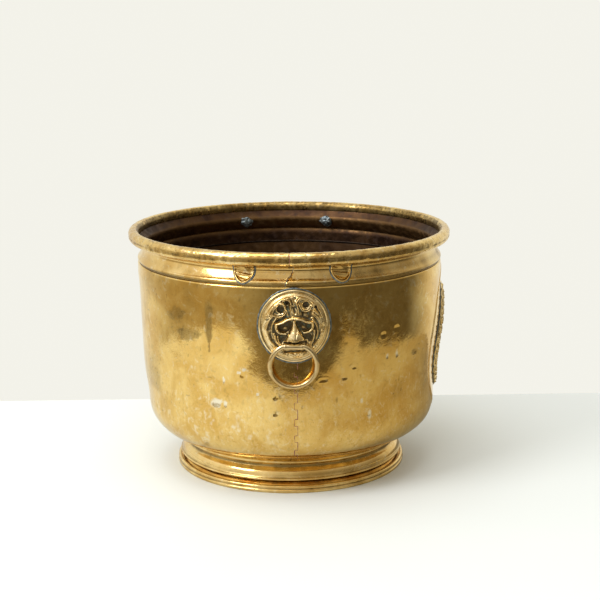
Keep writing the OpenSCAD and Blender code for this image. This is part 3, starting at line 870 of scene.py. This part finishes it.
# ---------------------------------------------------------------- foot
def build_foot():
    """The moulded skirt, its solder to the bowl, and the double bead that the pot stands on"""
    slope = 1 / math.tan(BOWL_TURN)
    top = BASE_Z + (LIP_R - 1.2 - BASE_R) * slope
    outer = [(LIP_R - 1.2, top)] + arc((LIP_R - 1, top - 3), 2, 50, -50, 12)
    outer += arc((LIP_R + 0.8, top - 7.3), 2.8, 160, 215, 8)
    outer += arc((LIP_R - 6.2, 15.4), 9.4, 50, 8, 16)
    outer += arc((LIP_R + 3.2, 13), 1.5, 70, -60, 10) + [(LIP_R + 2.2, 9.4)]
    inner = [(LIP_R + 1, 9.4), (LIP_R + 1, 12), (LIP_R + 1.4, 15), (LIP_R + 0.6, 18), (LIP_R - 1.4, 22),
             (LIP_R - 3.3, 24.4), (LIP_R - 3.3, 28), (LIP_R - 2.4, BASE_Z + (LIP_R - 2.4 - BASE_R) * slope)]
    section = np.array(outer + inner)
    push = np.tile([1.0, 0.0], (len(section), 1))

    def lift(p):
        return 0.22 * noise(p, 48, 91) + 0.07 * noise(p, 15, 92) + 0.03 * noise(p, 5, 93)

    def tarnish_and_shading(p):
        # Painted shade darkens the skirt's three grooves; the noise adds tarnishing.
        z = p[..., 2]
        grooves = hump((z - top + 7.5) / 2.4) + hump((z - 10) / 2.2) + hump((z - 14.8) / 1.1)
        return np.clip(0.8 * grooves + 0.3 * np.clip(noise(p, 14, 94), 0, 1), 0, 1)

    skirt = revolve(section, push, ring_angles(560), lift, tarnish_and_shading)
    piece("foot_skirt_moulded", [skirt], [POLISHED], ["foot_skirt"], sharp=50)
    fillet = arc((LIP_R - 1.9, top + 0.1), 0.9, 20, 320, 9)
    ring = revolve(fillet, loop_normals(fillet), ring_angles(500), lambda p: 0.35 * noise(p, 3.5, 95))
    piece("foot_joint_fillet", [ring], [SOLDER_DARK_AS_SHADE], ["foot_joint_solder"])
    bead_r, bead_z = 2.1, 1.9
    beads = FOOT_R - bead_r
    low = math.degrees(math.asin(bead_z / bead_r))
    loop = [(LIP_R - 0.2, 5.2)] + arc((beads, bead_z), bead_r, 150, 180 + low, 6)
    loop += arc((beads, bead_z), bead_r, -low, 58, 12) + arc((beads - 0.2, 5.8), 2.0, -55, 150, 16)
    loop += [(LIP_R + 1, 6.8), (LIP_R + 1, 11.8), (LIP_R - 0.2, 11.8)]

    def ground_lift(p):
        free = smooth(p[..., 2] / 1.5)
        scars = dimples(p, 6, 97)
        return free * (0.18 * noise(p, 50, 96) + 0.10 * np.clip(scars - 0.5, -0.5, 0.3) - 0.06)

    def ground_tarnish_and_shading(p):
        # Painted shade darkens the groove between the two beads and the top tucked under the skirt; the noise
        # adds tarnishing.
        return np.clip(0.8 * hump((p[..., 2] - 3.9) / 1.0) + 0.9 * smooth((p[..., 2] - 7.4) / 1)
                       + 0.35 * np.clip(noise(p, 9, 98), 0, 1), 0, 1)

    loop = np.array(loop)
    push = np.tile([1.0, 0.0], (len(loop), 1))
    ground = revolve(loop, push, ring_angles(640), ground_lift, ground_tarnish_and_shading)
    piece("foot_ground_ring", [ground], [POLISHED], ["foot_base_ring"], sharp=50)


# ---------------------------------------------------------------- reliefs
class Relief:
    """A height map worked out once on a square grid, with how deep each place lies in its surroundings"""

    def __init__(self, shape, half_w, half_h, step=0.33):
        self.low, self.step = np.array([-half_w, -half_h]), step
        self.u = np.arange(-half_w, half_w + step, step)
        self.v = np.arange(-half_h, half_h + step, step)
        grid_u, grid_v = np.meshgrid(self.u, self.v)
        self.map = shape(grid_u, grid_v)
        near, far = self.blurred(1.0), self.blurred(3.2)
        depth = 1.1 * (near - self.map) + 0.26 * (far - self.map)
        self.dark = np.clip(0.26 + depth, 0, 1)

    def blurred(self, size):
        reach = int(2.5 * size / self.step)
        k = np.exp(-0.5 * (np.arange(-reach, reach + 1) * self.step / size) ** 2)
        k /= k.sum()
        padded = np.pad(self.map, reach, mode="edge")
        rows = np.stack([np.convolve(row, k, "valid") for row in padded])
        return np.stack([np.convolve(column, k, "valid") for column in rows.T]).T

    def sample(self, table, u, v):
        a = np.clip((u - self.low[0]) / self.step, 0, len(self.u) - 1.001)
        b = np.clip((v - self.low[1]) / self.step, 0, len(self.v) - 1.001)
        i, j = a.astype(int), b.astype(int)
        f, g = a - i, b - j
        upper = table[j, i] * (1 - f) + table[j, i + 1] * f
        return upper * (1 - g) + (table[j + 1, i] * (1 - f) + table[j + 1, i + 1] * f) * g

    def height(self, u, v):
        return self.sample(self.map, u, v)

    def tarnish_and_shading(self, u, v):
        return self.sample(self.dark, u, v)


def mound(u, v, at, reach, height, tilt=0.0, power=1.0):
    """A rounded mound with an oval foot"""
    c, s = math.cos(math.radians(tilt)), math.sin(math.radians(tilt))
    x, y = u - at[0], v - at[1]
    d = ((c * x + s * y) / reach[0]) ** 2 + ((c * y - s * x) / reach[1]) ** 2
    return height * np.clip(1 - d, 0, 1) ** power


def curved(points, steps=5):
    """More points on a smooth curve through the given ones"""
    p = np.array([points[0], *points, points[-1]], float)
    made = []
    for k in range(1, len(p) - 2):
        for t in np.arange(steps) / steps:
            made.append(0.5 * (2 * p[k] + t * (p[k + 1] - p[k - 1])
                               + t * t * (2 * p[k - 1] - 5 * p[k] + 4 * p[k + 1] - p[k + 2])
                               + t**3 * (3 * p[k] - p[k - 1] - 3 * p[k + 1] + p[k + 2])))
    return [*made, p[-1]]


def ridge(u, v, points, width, height, taper=0.5, grooves=0):
    """A rounded ridge along a line of points, thinner towards its end"""
    best = np.full(u.shape, 99.0)
    along = np.zeros(u.shape)
    count = len(points) - 1
    for k in range(count):
        (ax, ay), (bx, by) = points[k], points[k + 1]
        dx, dy = bx - ax, by - ay
        t = np.clip(((u - ax) * dx + (v - ay) * dy) / (dx * dx + dy * dy), 0, 1)
        d = np.hypot(u - ax - t * dx, v - ay - t * dy)
        along = np.where(d < best, (k + t) / count, along)
        best = np.minimum(best, d)
    size = width * (1 - taper * along)
    share = best / size
    body = np.sqrt(np.clip(1 - share**2, 0, 1)) * (1 - 0.5 * taper * along)
    if grooves:
        body = body * (0.86 + 0.14 * np.cos(share * math.pi * grooves))
    return height * body


def soft_max(a, b, r=0.5):
    """The higher of two surfaces, blended where they meet"""
    h = np.clip(0.5 + 0.5 * (a - b) / r, 0, 1)
    return b * (1 - h) + a * h + r * h * (1 - h)


def bezel(r):
    """Stepped round border of the mask"""
    outer = 2.0 * np.sqrt(np.clip(1 - ((r - 32.2) / 2.2) ** 2, 0, 1)) + 0.3
    inner = 3.1 * np.sqrt(np.clip(1 - ((r - 29.1) / 1.5) ** 2, 0, 1))
    step = np.where((r > 28) & (r < 33.6), 1.5, 0)
    return np.maximum(np.maximum(outer, step), inner) * smooth((34.2 - r) / 0.6)


# Locks of the mane: points along each one (across, up), then half width, height and number of grooves
LOCKS = [
    ([(-23.5, 9.5), (-20.5, 15.5), (-15, 20.5), (-8.5, 24.6), (-1.5, 24.2), (0.6, 19)], 3.4, 7.4, 3),
    ([(-23.5, 10.5), (-18.5, 9.2), (-15, 8.2), (-9.5, 9.4), (-6.4, 13)], 2.6, 7.2, 2),
    ([(-17.5, 19), (-12, 20.6), (-8.8, 18.8), (-7.4, 14.4)], 1.9, 7.6, 0),
    ([(-8, 24.5), (-3.2, 22.4), (-2.2, 17.5), (-3, 12)], 2.2, 8.0, 2),
    ([(3.2, 20.5), (6.5, 24), (12, 23.8), (17.2, 20.4), (19.6, 15.8)], 2.6, 7.0, 3),
    ([(5.2, 19.5), (7.4, 14.2), (10.5, 12), (14.8, 12.6), (17, 16)], 2.1, 7.4, 2),
    ([(2.6, 21), (4.2, 15.5), (4.8, 10)], 2.2, 7.6, 2),
    ([(19.6, 19), (22.8, 15.2), (24.6, 10.4)], 1.7, 6.2, 0),
    ([(18.6, 12), (22, 9.4), (25.5, 4.6)], 2.0, 6.2, 2),
    ([(-20.5, 8), (-24, 3.5), (-26.4, -3), (-25, -9.5)], 2.2, 6.0, 2),
    ([(-16.8, 6.5), (-20.4, 1.5), (-21.8, -5), (-20.6, -12)], 2.2, 6.6, 2),
    ([(-25.8, -6), (-23.8, -13), (-19, -19.5), (-14, -22.5)], 2.0, 5.6, 2),
    ([(-19.4, -8), (-18, -15), (-14, -20)], 1.5, 5.6, 0),
    ([(-16, -10.5), (-15.4, -15), (-13, -18.6)], 1.1, 5.0, 0),
    ([(18.4, 9), (22.8, 4.6), (25, -1.5), (24.6, -8)], 2.3, 6.2, 3),
    ([(17.4, 4), (20.6, -1.5), (21.8, -8.5), (20, -15)], 2.0, 6.6, 2),
    ([(25.6, -7), (23.4, -14), (18.6, -20)], 2.0, 5.6, 2),
    ([(18.4, -7), (17.6, -13.5), (14.6, -20)], 1.4, 5.6, 0)]
CURL_HOLES = [(-12.2, 14.4, 3.3), (-5.4, 20.2, 1.9), (11.8, 17.4, 3.0), (21, 15, 1.6)]
LION_TILT = math.radians(-3)
RAISED = 2.4                                # the face sits this far above the mask's middle


def lion_shape(across, up):
    """The lion's head in its bezel: bold locks, a straight heavy brow, deep eyes and a long nose"""
    r = np.hypot(across, up)
    c, s = math.cos(LION_TILT), math.sin(LION_TILT)
    u = c * across - s * up
    v = s * across + c * up
    v = v - RAISED
    hair = noise(np.stack([u + 0.35 * np.abs(v), 0.32 * v, 0 * u], -1), 2.4, 104)
    dish = 4.4 - 1.0 * np.clip(1 - (r / 28) ** 2, 0, 1) + 0.8 * hair
    face = mound(u, v, (0, -4), (17, 22), 6.6, power=0.6) + mound(u, v, (0, 12), (9, 8), 3.0)
    h = soft_max(dish, face, 0.8)
    for points, width, height, grooves in LOCKS:
        h = soft_max(h, ridge(u, v, curved(points), 1.2 * width, height, 0.3, grooves) + 1.2, 0.5)
    for x, y, size in CURL_HOLES:
        h = h - mound(u, v, (x, y), (size, size), 4.2, 0, 0.7)
    for x, y, size in ((-4.2, 10.5, 1.3), (0.8, 12.6, 1.5), (8.4, 9.4, 1.1)):
        h = h - mound(u, v, (x, y), (size, 2.4 * size), 1.8, 12)
    for side, drop in ((-1, 0.0), (1, 0.6)):
        h = h - mound(u, v, (side * 9.2, -0.8), (8.2, 5.8), 6.4, -side * 8, 0.6)
        h = h + mound(u, v, (side * 9.6, -3.4), (4.4, 2.6), 2.2, -side * 10, 0.8)
        lid = [(side * 17.0, 0.6 - drop), (side * 16.8, -3.8), (side * 13.6, -7.2), (side * 8.4, -8.0)]
        h = soft_max(h, ridge(u, v, curved(lid), 2.3, 8.8, 0.2), 0.6)
        h = h - mound(u, v, (side * 12.6, -13), (3.6, 5), 2.6, side * 14)
    brow = [(0.8, 6.0), (6.2, 5.0), (11, 2.6), (17, 1.0)]
    for side, drop in ((-1, 0.5), (1, 0)):
        line = curved([(side * a, b + drop) for a, b in brow])
        h = soft_max(h, ridge(u, v, line, 2.4, 11.4, 0.2), 0.6)
    width = 2.0 + 7.8 * smooth((5 - v) / 20.5) ** 1.25
    profile = 9.4 + 5.4 * smooth((6 - v) / 20)
    nose = profile * np.sqrt(np.clip(1 - (u / width) ** 2, 0, 1)) ** 0.7
    nose = nose * smooth((6 - v) / 2.5) * smooth((v + 15.4) / 0.9)
    h = soft_max(h, nose, 0.5)
    h = h - mound(u, v, (1.6, -7), (0.8, 5.5), 1.0, -10)
    for side in (-1, 1):
        h = h - mound(u, v, (side * 4.8, -14.2), (2.2, 1.1), 2.6)
    v = v + RAISED
    slot = smooth((-13.4 - v) / 0.5) * smooth((v + 24.8) / 1.5) * smooth((11.5 - np.abs(u)) / 1.2)
    h = h * (1 - slot) + 2.0 * slot
    lip = ridge(u, v, [(-4.6, -25.2), (-2, -26.6), (0, -27), (2, -26.6), (4.6, -25.2)], 1.9, 5.4, 0)
    h = soft_max(h, lip, 0.5)
    flat = np.stack([u, v, 0 * u], -1)
    h = h + 0.16 * noise(flat, 2.4, 102) + 0.08 * noise(flat, 0.9, 103)
    inside = smooth((28.9 - r) / 0.7)
    return np.maximum(h, 0.8) * inside + bezel(r) * (1 - inside)


def leaf(u, v, at, length, width, tilt, height):
    """A laurel leaf: pointed at both ends, with a sunk midrib"""
    c, s = math.cos(tilt), math.sin(tilt)
    x, y = u - at[0], v - at[1]
    along, side = (c * x + s * y) / length, (c * y - s * x) / width
    edge = np.clip(1 - along**2, 0, 1)
    share = np.abs(side) / np.maximum(edge, 1e-3)
    body = np.clip(1 - share**2, 0, 1) ** 0.5 * edge**0.3
    vein = 0.28 * hump(side / 0.16) * (edge > 0.05)
    return height * (body - vein * body)


def wreath_shape(u, v):
    """Two laurel branches tied with a ribbon, round a plain shield"""
    w, h = PLAQUE_W, PLAQUE_H
    r = np.hypot(u / w, v / h)
    relief = 1.2 + 0.5 * smooth((0.55 - r) / 0.1)
    stem_w, stem_h = w - 8, h - 9
    for side in (-1, 1):
        stem = [(side * stem_w * math.sin(a), -stem_h * math.cos(a)) for a in np.linspace(0.1, 2.9, 30)]
        relief = soft_max(relief, ridge(u, v, stem, 1.2, 2.6, 0.3), 0.3)
        for k in range(13):
            a = 0.22 + k * 0.215
            x, y = side * stem_w * math.sin(a), -stem_h * math.cos(a)
            tangent = math.atan2(stem_h * math.sin(a), side * stem_w * math.cos(a))
            out = (math.cos(tangent - side * math.pi / 2), math.sin(tangent - side * math.pi / 2))
            ahead = (x + 3 * math.cos(tangent), y + 3 * math.sin(tangent))
            for spread, lift, shift in ((0.62, 3.9, 3.6), (-0.62, 3.6, -3.6), (0, 4.3, 0)):
                tilt = tangent + side * spread
                at = (ahead[0] - out[0] * shift, ahead[1] - out[1] * shift)
                relief = np.maximum(relief, 1.0 + leaf(u, v, at, 6.4, 2.5, tilt, lift - 1.1 + 0.1 * (k % 3)))
            berry = (x + 2.2 * out[0], y + 2.2 * out[1])
            relief = soft_max(relief, 1.2 + mound(u, v, berry, (1.5, 1.5), 3.3, 0, 0.5), 0.2)
    for side in (-1, 1):
        loop = [(side * 1.5, -stem_h), (side * 7, -stem_h + 4.5), (side * 11, -stem_h + 0.5),
                (side * 6, -stem_h - 3), (side * 1.5, -stem_h)]
        relief = soft_max(relief, ridge(u, v, loop, 1.7, 4.4, 0.1), 0.3)
    relief = soft_max(relief, 1.2 + mound(u, v, (0, -stem_h), (3, 3.2), 3.6, 0, 0.5), 0.3)
    side_run = np.maximum(np.abs(u) / 13.5, (np.abs(u) * 0.9 - v - 8) / 20)
    shield = np.maximum(side_run, v / 18.5)
    relief = np.maximum(relief, 1.4 + 2.2 * smooth((1 - shield) / 0.08) - 0.9 * smooth((0.84 - shield) / 0.06)
                        + 1.5 * np.clip(1 - (u / 11) ** 2 - ((v + 1) / 16) ** 2, 0, 1))
    edge = 0.8 * hump((r - 0.975) / 0.035)
    grain = 0.07 * noise(np.stack([u, v, 0 * u], -1), 1.6, 112)
    return (relief + edge + grain) * (0.25 + 0.75 * smooth((1.005 - r) / 0.03))


def build_masks():
    relief = Relief(lion_shape, MASK_R + 1, MASK_R + 1)
    for name, turn in ENDS:
        def place(u, v, out, turn=turn):
            return on_wall(u + MASK_X, v * MASK_TALL + MASK_Z, turn, out)

        def dark(u, v):
            r = np.hypot(u, v)
            rim = np.where(r > 28.6, 0.3 * (relief.tarnish_and_shading(u, v) - 0.3), 0)
            return np.clip(relief.tarnish_and_shading(u, v) * (r <= 28.6) + 0.18 * (r > 28.6) + rim, 0, 1)

        body = button(lambda a: MASK_R + 0 * a, relief.height, place, 96, 560, 0.5, dark)
        piece("lion_" + name, [body], [CAST], ["lion_mask_" + name])
        a = around(360)
        edge = place((MASK_R + 0.35) * np.sin(a), (MASK_R + 0.35) * np.cos(a), 0 * a)
        line = bead(edge, radial(edge), 0.95, 0.7, True, 121, waver=0.4)
        piece("lion_solder_" + name, [line], [SOLDER], ["mask_solder_" + name])


def build_plaque():
    relief = Relief(wreath_shape, PLAQUE_W + 1, PLAQUE_H + 1, 0.3)

    def edge(a):
        return 1 / np.sqrt((np.sin(a) / PLAQUE_W) ** 2 + (np.cos(a) / PLAQUE_H) ** 2)

    def place(u, v, out):
        r = wall_r(v + PLAQUE_Z)
        a = u / r + PLAQUE_SIDE
        p = placed(r, a, v + PLAQUE_Z)
        return p + radial(p) * (wall_lift(p) + out)[..., None]

    body = button(edge, relief.height, place, 120, 620, 0.5, relief.tarnish_and_shading)
    piece("wreath_relief", [body], [CAST], ["wreath_plaque"])
    a = around(480)

    def oval(w, h, rise=0):
        return place(w * np.sin(a), h * np.cos(a) + rise, 0 * a)

    path = oval(PLAQUE_W + 0.3, PLAQUE_H + 0.3)
    line = bead(path, radial(path), 0.8, 0.5, True, 131, waver=0.4)
    piece("wreath_solder", [line], [SOLDER], ["plaque_solder"])
    borders = []
    for grow, size in ((0, 0.9), (3.4, 0.6)):
        path = oval(BORDER_W + grow, BORDER_H + grow, 2)
        borders.append(bead(path, radial(path), size, 0.35, True, 132, waver=0.12))
    piece("chased_border", borders, [HAMMERED])


# ---------------------------------------------------------------- rings, straps, patches, solder lumps
def ring_path():
    """Middle line of a ring, x across and s down from the pivot, with a straight bar on top"""
    drop = math.sqrt(RING_R**2 - BAR_HALF**2)
    start = math.asin(BAR_HALF / RING_R)
    a = np.linspace(start, 2 * math.pi - start, 150)
    loop = np.stack([RING_R * np.sin(a), drop - RING_R * np.cos(a)], -1)
    bar = np.stack([np.linspace(-BAR_HALF, BAR_HALF, 26)[1:-1], np.zeros(24)], -1)
    path = np.concatenate([loop, bar])
    for _ in range(3):
        path = (np.roll(path, 1, 0) + 2 * path + np.roll(path, -1, 0)) / 4
    path[-20:, 1] = 0
    return path


def build_rings():
    path = ring_path()
    points = np.stack([path[:, 0], 0 * path[:, 0], -path[:, 1]], -1)
    thick = ROD_R + 0.05 * noise(points, 9, 141)
    on_bar = (path[:, 1] < 1.2) & (np.abs(path[:, 0]) < BAR_HALF)
    thick = np.where(on_bar, ROD_R - 0.12, thick)
    sides = 28
    a = around(sides)
    section = np.stack([np.cos(a), np.sin(a)], -1) * thick[:, None, None]
    c, s = math.cos(RING_LEAN), math.sin(RING_LEAN)
    lean = np.array([[1, 0, 0], [0, c, -s], [0, s, c]])
    for name, turn in ENDS:
        place = turned(points @ lean.T + PIVOT, turn)
        up = turned(lean @ np.array([0, -1.0, 0]), turn)
        worn = 0.25 * np.clip(noise(np.repeat(points, sides, 0), 12, 142), 0, 1)
        hoop = sweep(place, up, section, True, worn)
        piece("handle_ring_" + name, [hoop], [HANDLED], ["ring_" + name], name + "_ring")


def build_straps():
    """The barrel that each ring's bar turns in, and its two tails clinched inside the wall"""
    x = np.linspace(-STRAP_HALF + 0.5, STRAP_HALF - 0.5, 33)
    outer = [(t, STRAP_R - 0.1) for t in x]
    ends = arc((STRAP_HALF - 0.5, STRAP_R - 0.6), 0.5, 90, 0, 4) + [(STRAP_HALF, 2.5)]
    inner = [(t, 2.42) for t in x[::-1]]
    start = [(-STRAP_HALF, 2.5)] + arc((-STRAP_HALF + 0.5, STRAP_R - 0.6), 0.5, 180, 90, 4)
    section = np.array(outer + ends + inner + start)
    a = around(64)
    rho = section[:, 1:] * (1 + np.where(section[:, 1:] > 2.6, 0.045 * np.cos(2 * a)[None] - 0.03, 0))
    middle = (np.abs(section[:, :1]) < STRAP_HALF - 1.9) & (section[:, 1:] > 2.6)
    rho = rho - 0.32 * middle
    barrel = np.stack([section[:, :1] + 0 * a, rho * np.cos(a)[None], rho * np.sin(a)[None]], -1) + PIVOT
    faces = grid_faces(len(section), len(a), True, True)
    half, t, run = 6, 0.6, 13                   # the tails' half width, half thickness and length
    inside = SHEET - float(wall_r(PIVOT[2]))
    strips = []
    for side in (-1, 1):
        root = PIVOT[2] + side * t
        line = [(PIVOT[1] + STRAP_R - 0.9, root), (inside - SHEET, root), (inside + 0.2, root),
                (inside + 0.7, root + side * 0.7)]
        line += [(inside + 0.9 + 0.1 * k * k / 9, root + side * (1.4 + run * k / 10)) for k in range(1, 10)]
        path = np.array([(0, y, z) for y, z in line])
        flat = [(-half, -t + 0.3), (-half + 0.3, -t), (half - 0.3, -t), (half, -t + 0.3),
                (half, t - 0.3), (half - 0.3, t), (-half + 0.3, t), (-half, t - 0.3)]
        up = np.cross([1.0, 0, 0], directions(path, False))
        strips.append(sweep(path, up, np.array(flat), False))
    for name, turn in ENDS:
        shells = [shell(turned(barrel, turn), list(faces))]
        shells += [shell(turned(s["points"], turn), list(s["faces"])) for s in strips]
        piece("ring_keeper_" + name, shells, [HANDLED], ["ring_strap_" + name],
              sharp=40)


def tongue(a):
    """Distance to the outline of a neck patch at angle a, from its middle"""
    up, side = np.cos(a), np.abs(np.sin(a))
    flat = np.minimum((PATCH_TOP - PATCH_MID) / np.maximum(up, 1e-6), PATCH_HALF / np.maximum(side, 1e-6))
    return np.where(up > 0, flat, PATCH_HALF * (1 - 0.06 * np.abs(np.sin(2 * a))))


def patch_relief(u, v):
    """A patch with a raised lip, dents and a crease"""
    a = np.arctan2(u, v)
    t = np.hypot(u, v) / tongue(a)
    lip = 0.75 * hump((t - 0.88) / 0.13)
    dents = -0.22 * np.cos(v * 1.15 + 0.3 * u) * smooth((0.8 - t) / 0.2)
    crease = -0.35 * hump((v + 1.2 + 0.12 * u) / 0.8) * smooth((0.8 - t) / 0.15)
    return (0.62 + lip + dents + crease) * smooth((1.02 - t) / 0.06) + 0.05


def build_patches():
    turns = {"front_left": -PATCH_TURN, "front_right": PATCH_TURN, "back_left": BACK - PATCH_TURN,
             "back_right": BACK + PATCH_TURN}
    solder, lumps = [], []
    for name, turn in turns.items():
        def place(u, v, out, turn=turn):
            return on_neck(u, v + PATCH_MID, turn, out)

        def dark(u, v):
            t = np.hypot(u, v) / tongue(np.arctan2(u, v))
            return 0.35 * smooth((0.8 - t) / 0.2)

        body = button(tongue, patch_relief, place, 26, 140, 0.3, dark)
        piece("patch_" + name, [body], [POLISHED], ["neck_patch_" + name])
        a = np.linspace(math.radians(62), math.radians(298), 110)
        edge = tongue(a) + 0.35
        up = np.minimum(edge * np.cos(a), PATCH_TOP - PATCH_MID)
        path = on_neck(edge * np.sin(a), up + PATCH_MID, turn, 0 * a)
        solder.append(bead(path, radial(path), 0.85, 0.55, False, 151, waver=0.3))
        lumps.append(lump(turn, 152 + len(lumps) * 3))
    piece("patch_solder_lines", solder, [SOLDER], ["patch_solder"])
    piece("inner_lumps", lumps, [SOLDER], ["inner_solder_blobs"])


def lump(turn, seed):
    """A rough drop of solder on the inside of the neck"""
    rows, columns = 40, 72
    lat = np.linspace(0.02, math.pi - 0.02, rows)[:, None]
    lon = around(columns)[None]
    ball = np.stack([np.sin(lat) * np.cos(lon), np.sin(lat) * np.sin(lon), np.cos(lat) + 0 * lon], -1)
    size = 1 + 0.28 * rough(ball * 5, 3.2, seed, 3)
    p = ball * size[..., None] * [6.6, 2.7, 5.4]
    p[..., 1] = np.maximum(p[..., 1], -1.2)
    p = p + [0, -(neck_r(PATCH_MID) - SHEET - 0.9), 229]
    ends = [list(range(columns)), [(rows - 1) * columns + k for k in reversed(range(columns))]]
    return shell(turned(p, turn), grid_faces(rows, columns, False, True) + ends)


# ---------------------------------------------------------------- stage: floor, light, camera
FLOOR_BACK = 0.217                          # the floor ends this far behind the pot's axis, in metres
MIRROR_R, MIRROR_FRONT = 0.56, 0.45         # how far the brass mirrors lit floor, all round and in front


def flat_stage(name, r, front, material, level=0.0):
    """A flat piece of stage of radius r, cut off straight behind the pot and at a distance in front"""
    a = around(180)
    points = np.stack([r * np.sin(a), np.clip(-r * np.cos(a), -front, FLOOR_BACK), 0 * a + level], -1)
    mesh = bpy.data.meshes.new(name)
    mesh.from_pydata(points.tolist(), [], [list(range(len(a)))])
    mesh.materials.append(material)
    made = bpy.data.objects.new(name, mesh)
    bpy.context.scene.collection.objects.link(made)
    return made


def build_stage():
    """A pale floor, and a patch of floor that only the brass's reflections see, painted darker and browner
    towards +X as painted shade
    """
    m = Maker("pale_floor")
    tone = m.blend(m.window(m.noise(400, 2), 0.3, 0.7), (0.83, 0.89, 0.92), (0.86, 0.92, 0.95))
    floor = m.finish(tone, 0.6, 0.0)
    plain = flat_stage("floor", 3.5, 3.5, floor)
    plain.visible_glossy = False
    plain.visible_shadow = False
    m = Maker("mirrored_floor")
    # Painted shade: near white on the left, going to a dim brown towards +X.
    tone = m.blend(m.window(m.axes()["X"], -0.25, 0.3), (0.95, 0.95, 0.93), (0.62, 0.54, 0.38))
    mirrored = flat_stage("floor_in_reflections", MIRROR_R, MIRROR_FRONT, m.finish(tone, 0.9, 0.0), -0.0005)
    mirrored.visible_camera = mirrored.visible_shadow = mirrored.visible_diffuse = False


def build_world():
    """A cream room: light from above and from the left, dim in front below the level of the eye"""
    world = bpy.data.worlds.new("studio")
    bpy.context.scene.world = world
    world.use_nodes = True
    n = Nodes(world.node_tree, "Generated")
    x, y, z = n.axes()
    below = n.blend(n.window(x, -0.95, 0.1), (0.50, 0.43, 0.29), (0.12, 0.10, 0.065))
    level = n.blend(n.window(x, -0.9, 0.6), (0.92, 0.88, 0.78), (0.29, 0.25, 0.18))
    above = n.blend(n.window(x, -0.9, 0.5), (1.05, 1.03, 1.0), (0.54, 0.49, 0.40))
    room = n.blend(n.window(z, -0.12, 0.12), below, level)
    room = n.blend(n.window(z, 0.15, 0.75), room, above)
    room = n.blend(n.window(y, 0.1, 0.75), room, (0.88, 0.86, 0.76))
    colour = n.blend(n.node("LightPath").outputs["Is Camera Ray"], room, (0.90, 0.89, 0.82))
    n.put(n.tree.nodes["Background"].inputs["Color"], colour)


def softbox(name, at, aim, size, energy, colour):
    """A soft rectangular light at a place, turned to face another"""
    light = bpy.data.lights.new(name, "AREA")
    light.shape = "RECTANGLE"
    light.size, light.size_y = size
    light.energy = energy
    light.color = colour
    made = bpy.data.objects.new(name, light)
    bpy.context.scene.collection.objects.link(made)
    made.location = at
    made.rotation_euler = (Vector(aim) - Vector(at)).to_track_quat("-Z", "Y").to_euler()


def build_lights():
    softbox("key", (-1.5, -1.0, 1.5), (0, 0, 0.12), (0.9, 0.9), 21, (1, 0.98, 0.95))
    softbox("top", (-0.3, -0.5, 2.2), (0, 0, 0), (1.4, 1.4), 17, (1, 0.98, 0.94))
    bpy.context.scene.view_settings.view_transform = "Standard"


def build_camera():
    """The view from the front: nearly level with the rim's far edge, a little left of the ring"""
    focal, sensor, width = 1416, 36, 600        # focal length and picture width in pixels, sensor in mm
    pitch, roll, turn = math.radians(12.508), math.radians(-0.327), math.radians(-1.6)
    camera = bpy.data.cameras.new("camera")
    camera.sensor_width = sensor
    camera.lens = focal * sensor / width
    made = bpy.data.objects.new("camera", camera)
    bpy.context.scene.collection.objects.link(made)
    spin = Matrix.Rotation(turn, 4, "Z")
    place = spin @ Vector((0.01082, -1.444, 0.4898))
    made.matrix_world = (Matrix.Translation(place) @ spin @ Matrix.Rotation(math.pi / 2 - pitch, 4, "X")
                         @ Matrix.Rotation(roll, 4, "Z"))
    bpy.context.scene.camera = made


build_camera()
build_wall()
build_seams()
build_base()
build_neck()
build_rim()
build_foot()
build_masks()
build_plaque()
build_rings()
build_straps()
build_patches()
for wire in ("rim_wire", "foot_wire"):
    frame["nodes"][wire].data.materials.clear()
    frame["nodes"][wire].data.materials.append(IRON)
build_stage()
build_world()
build_lights()
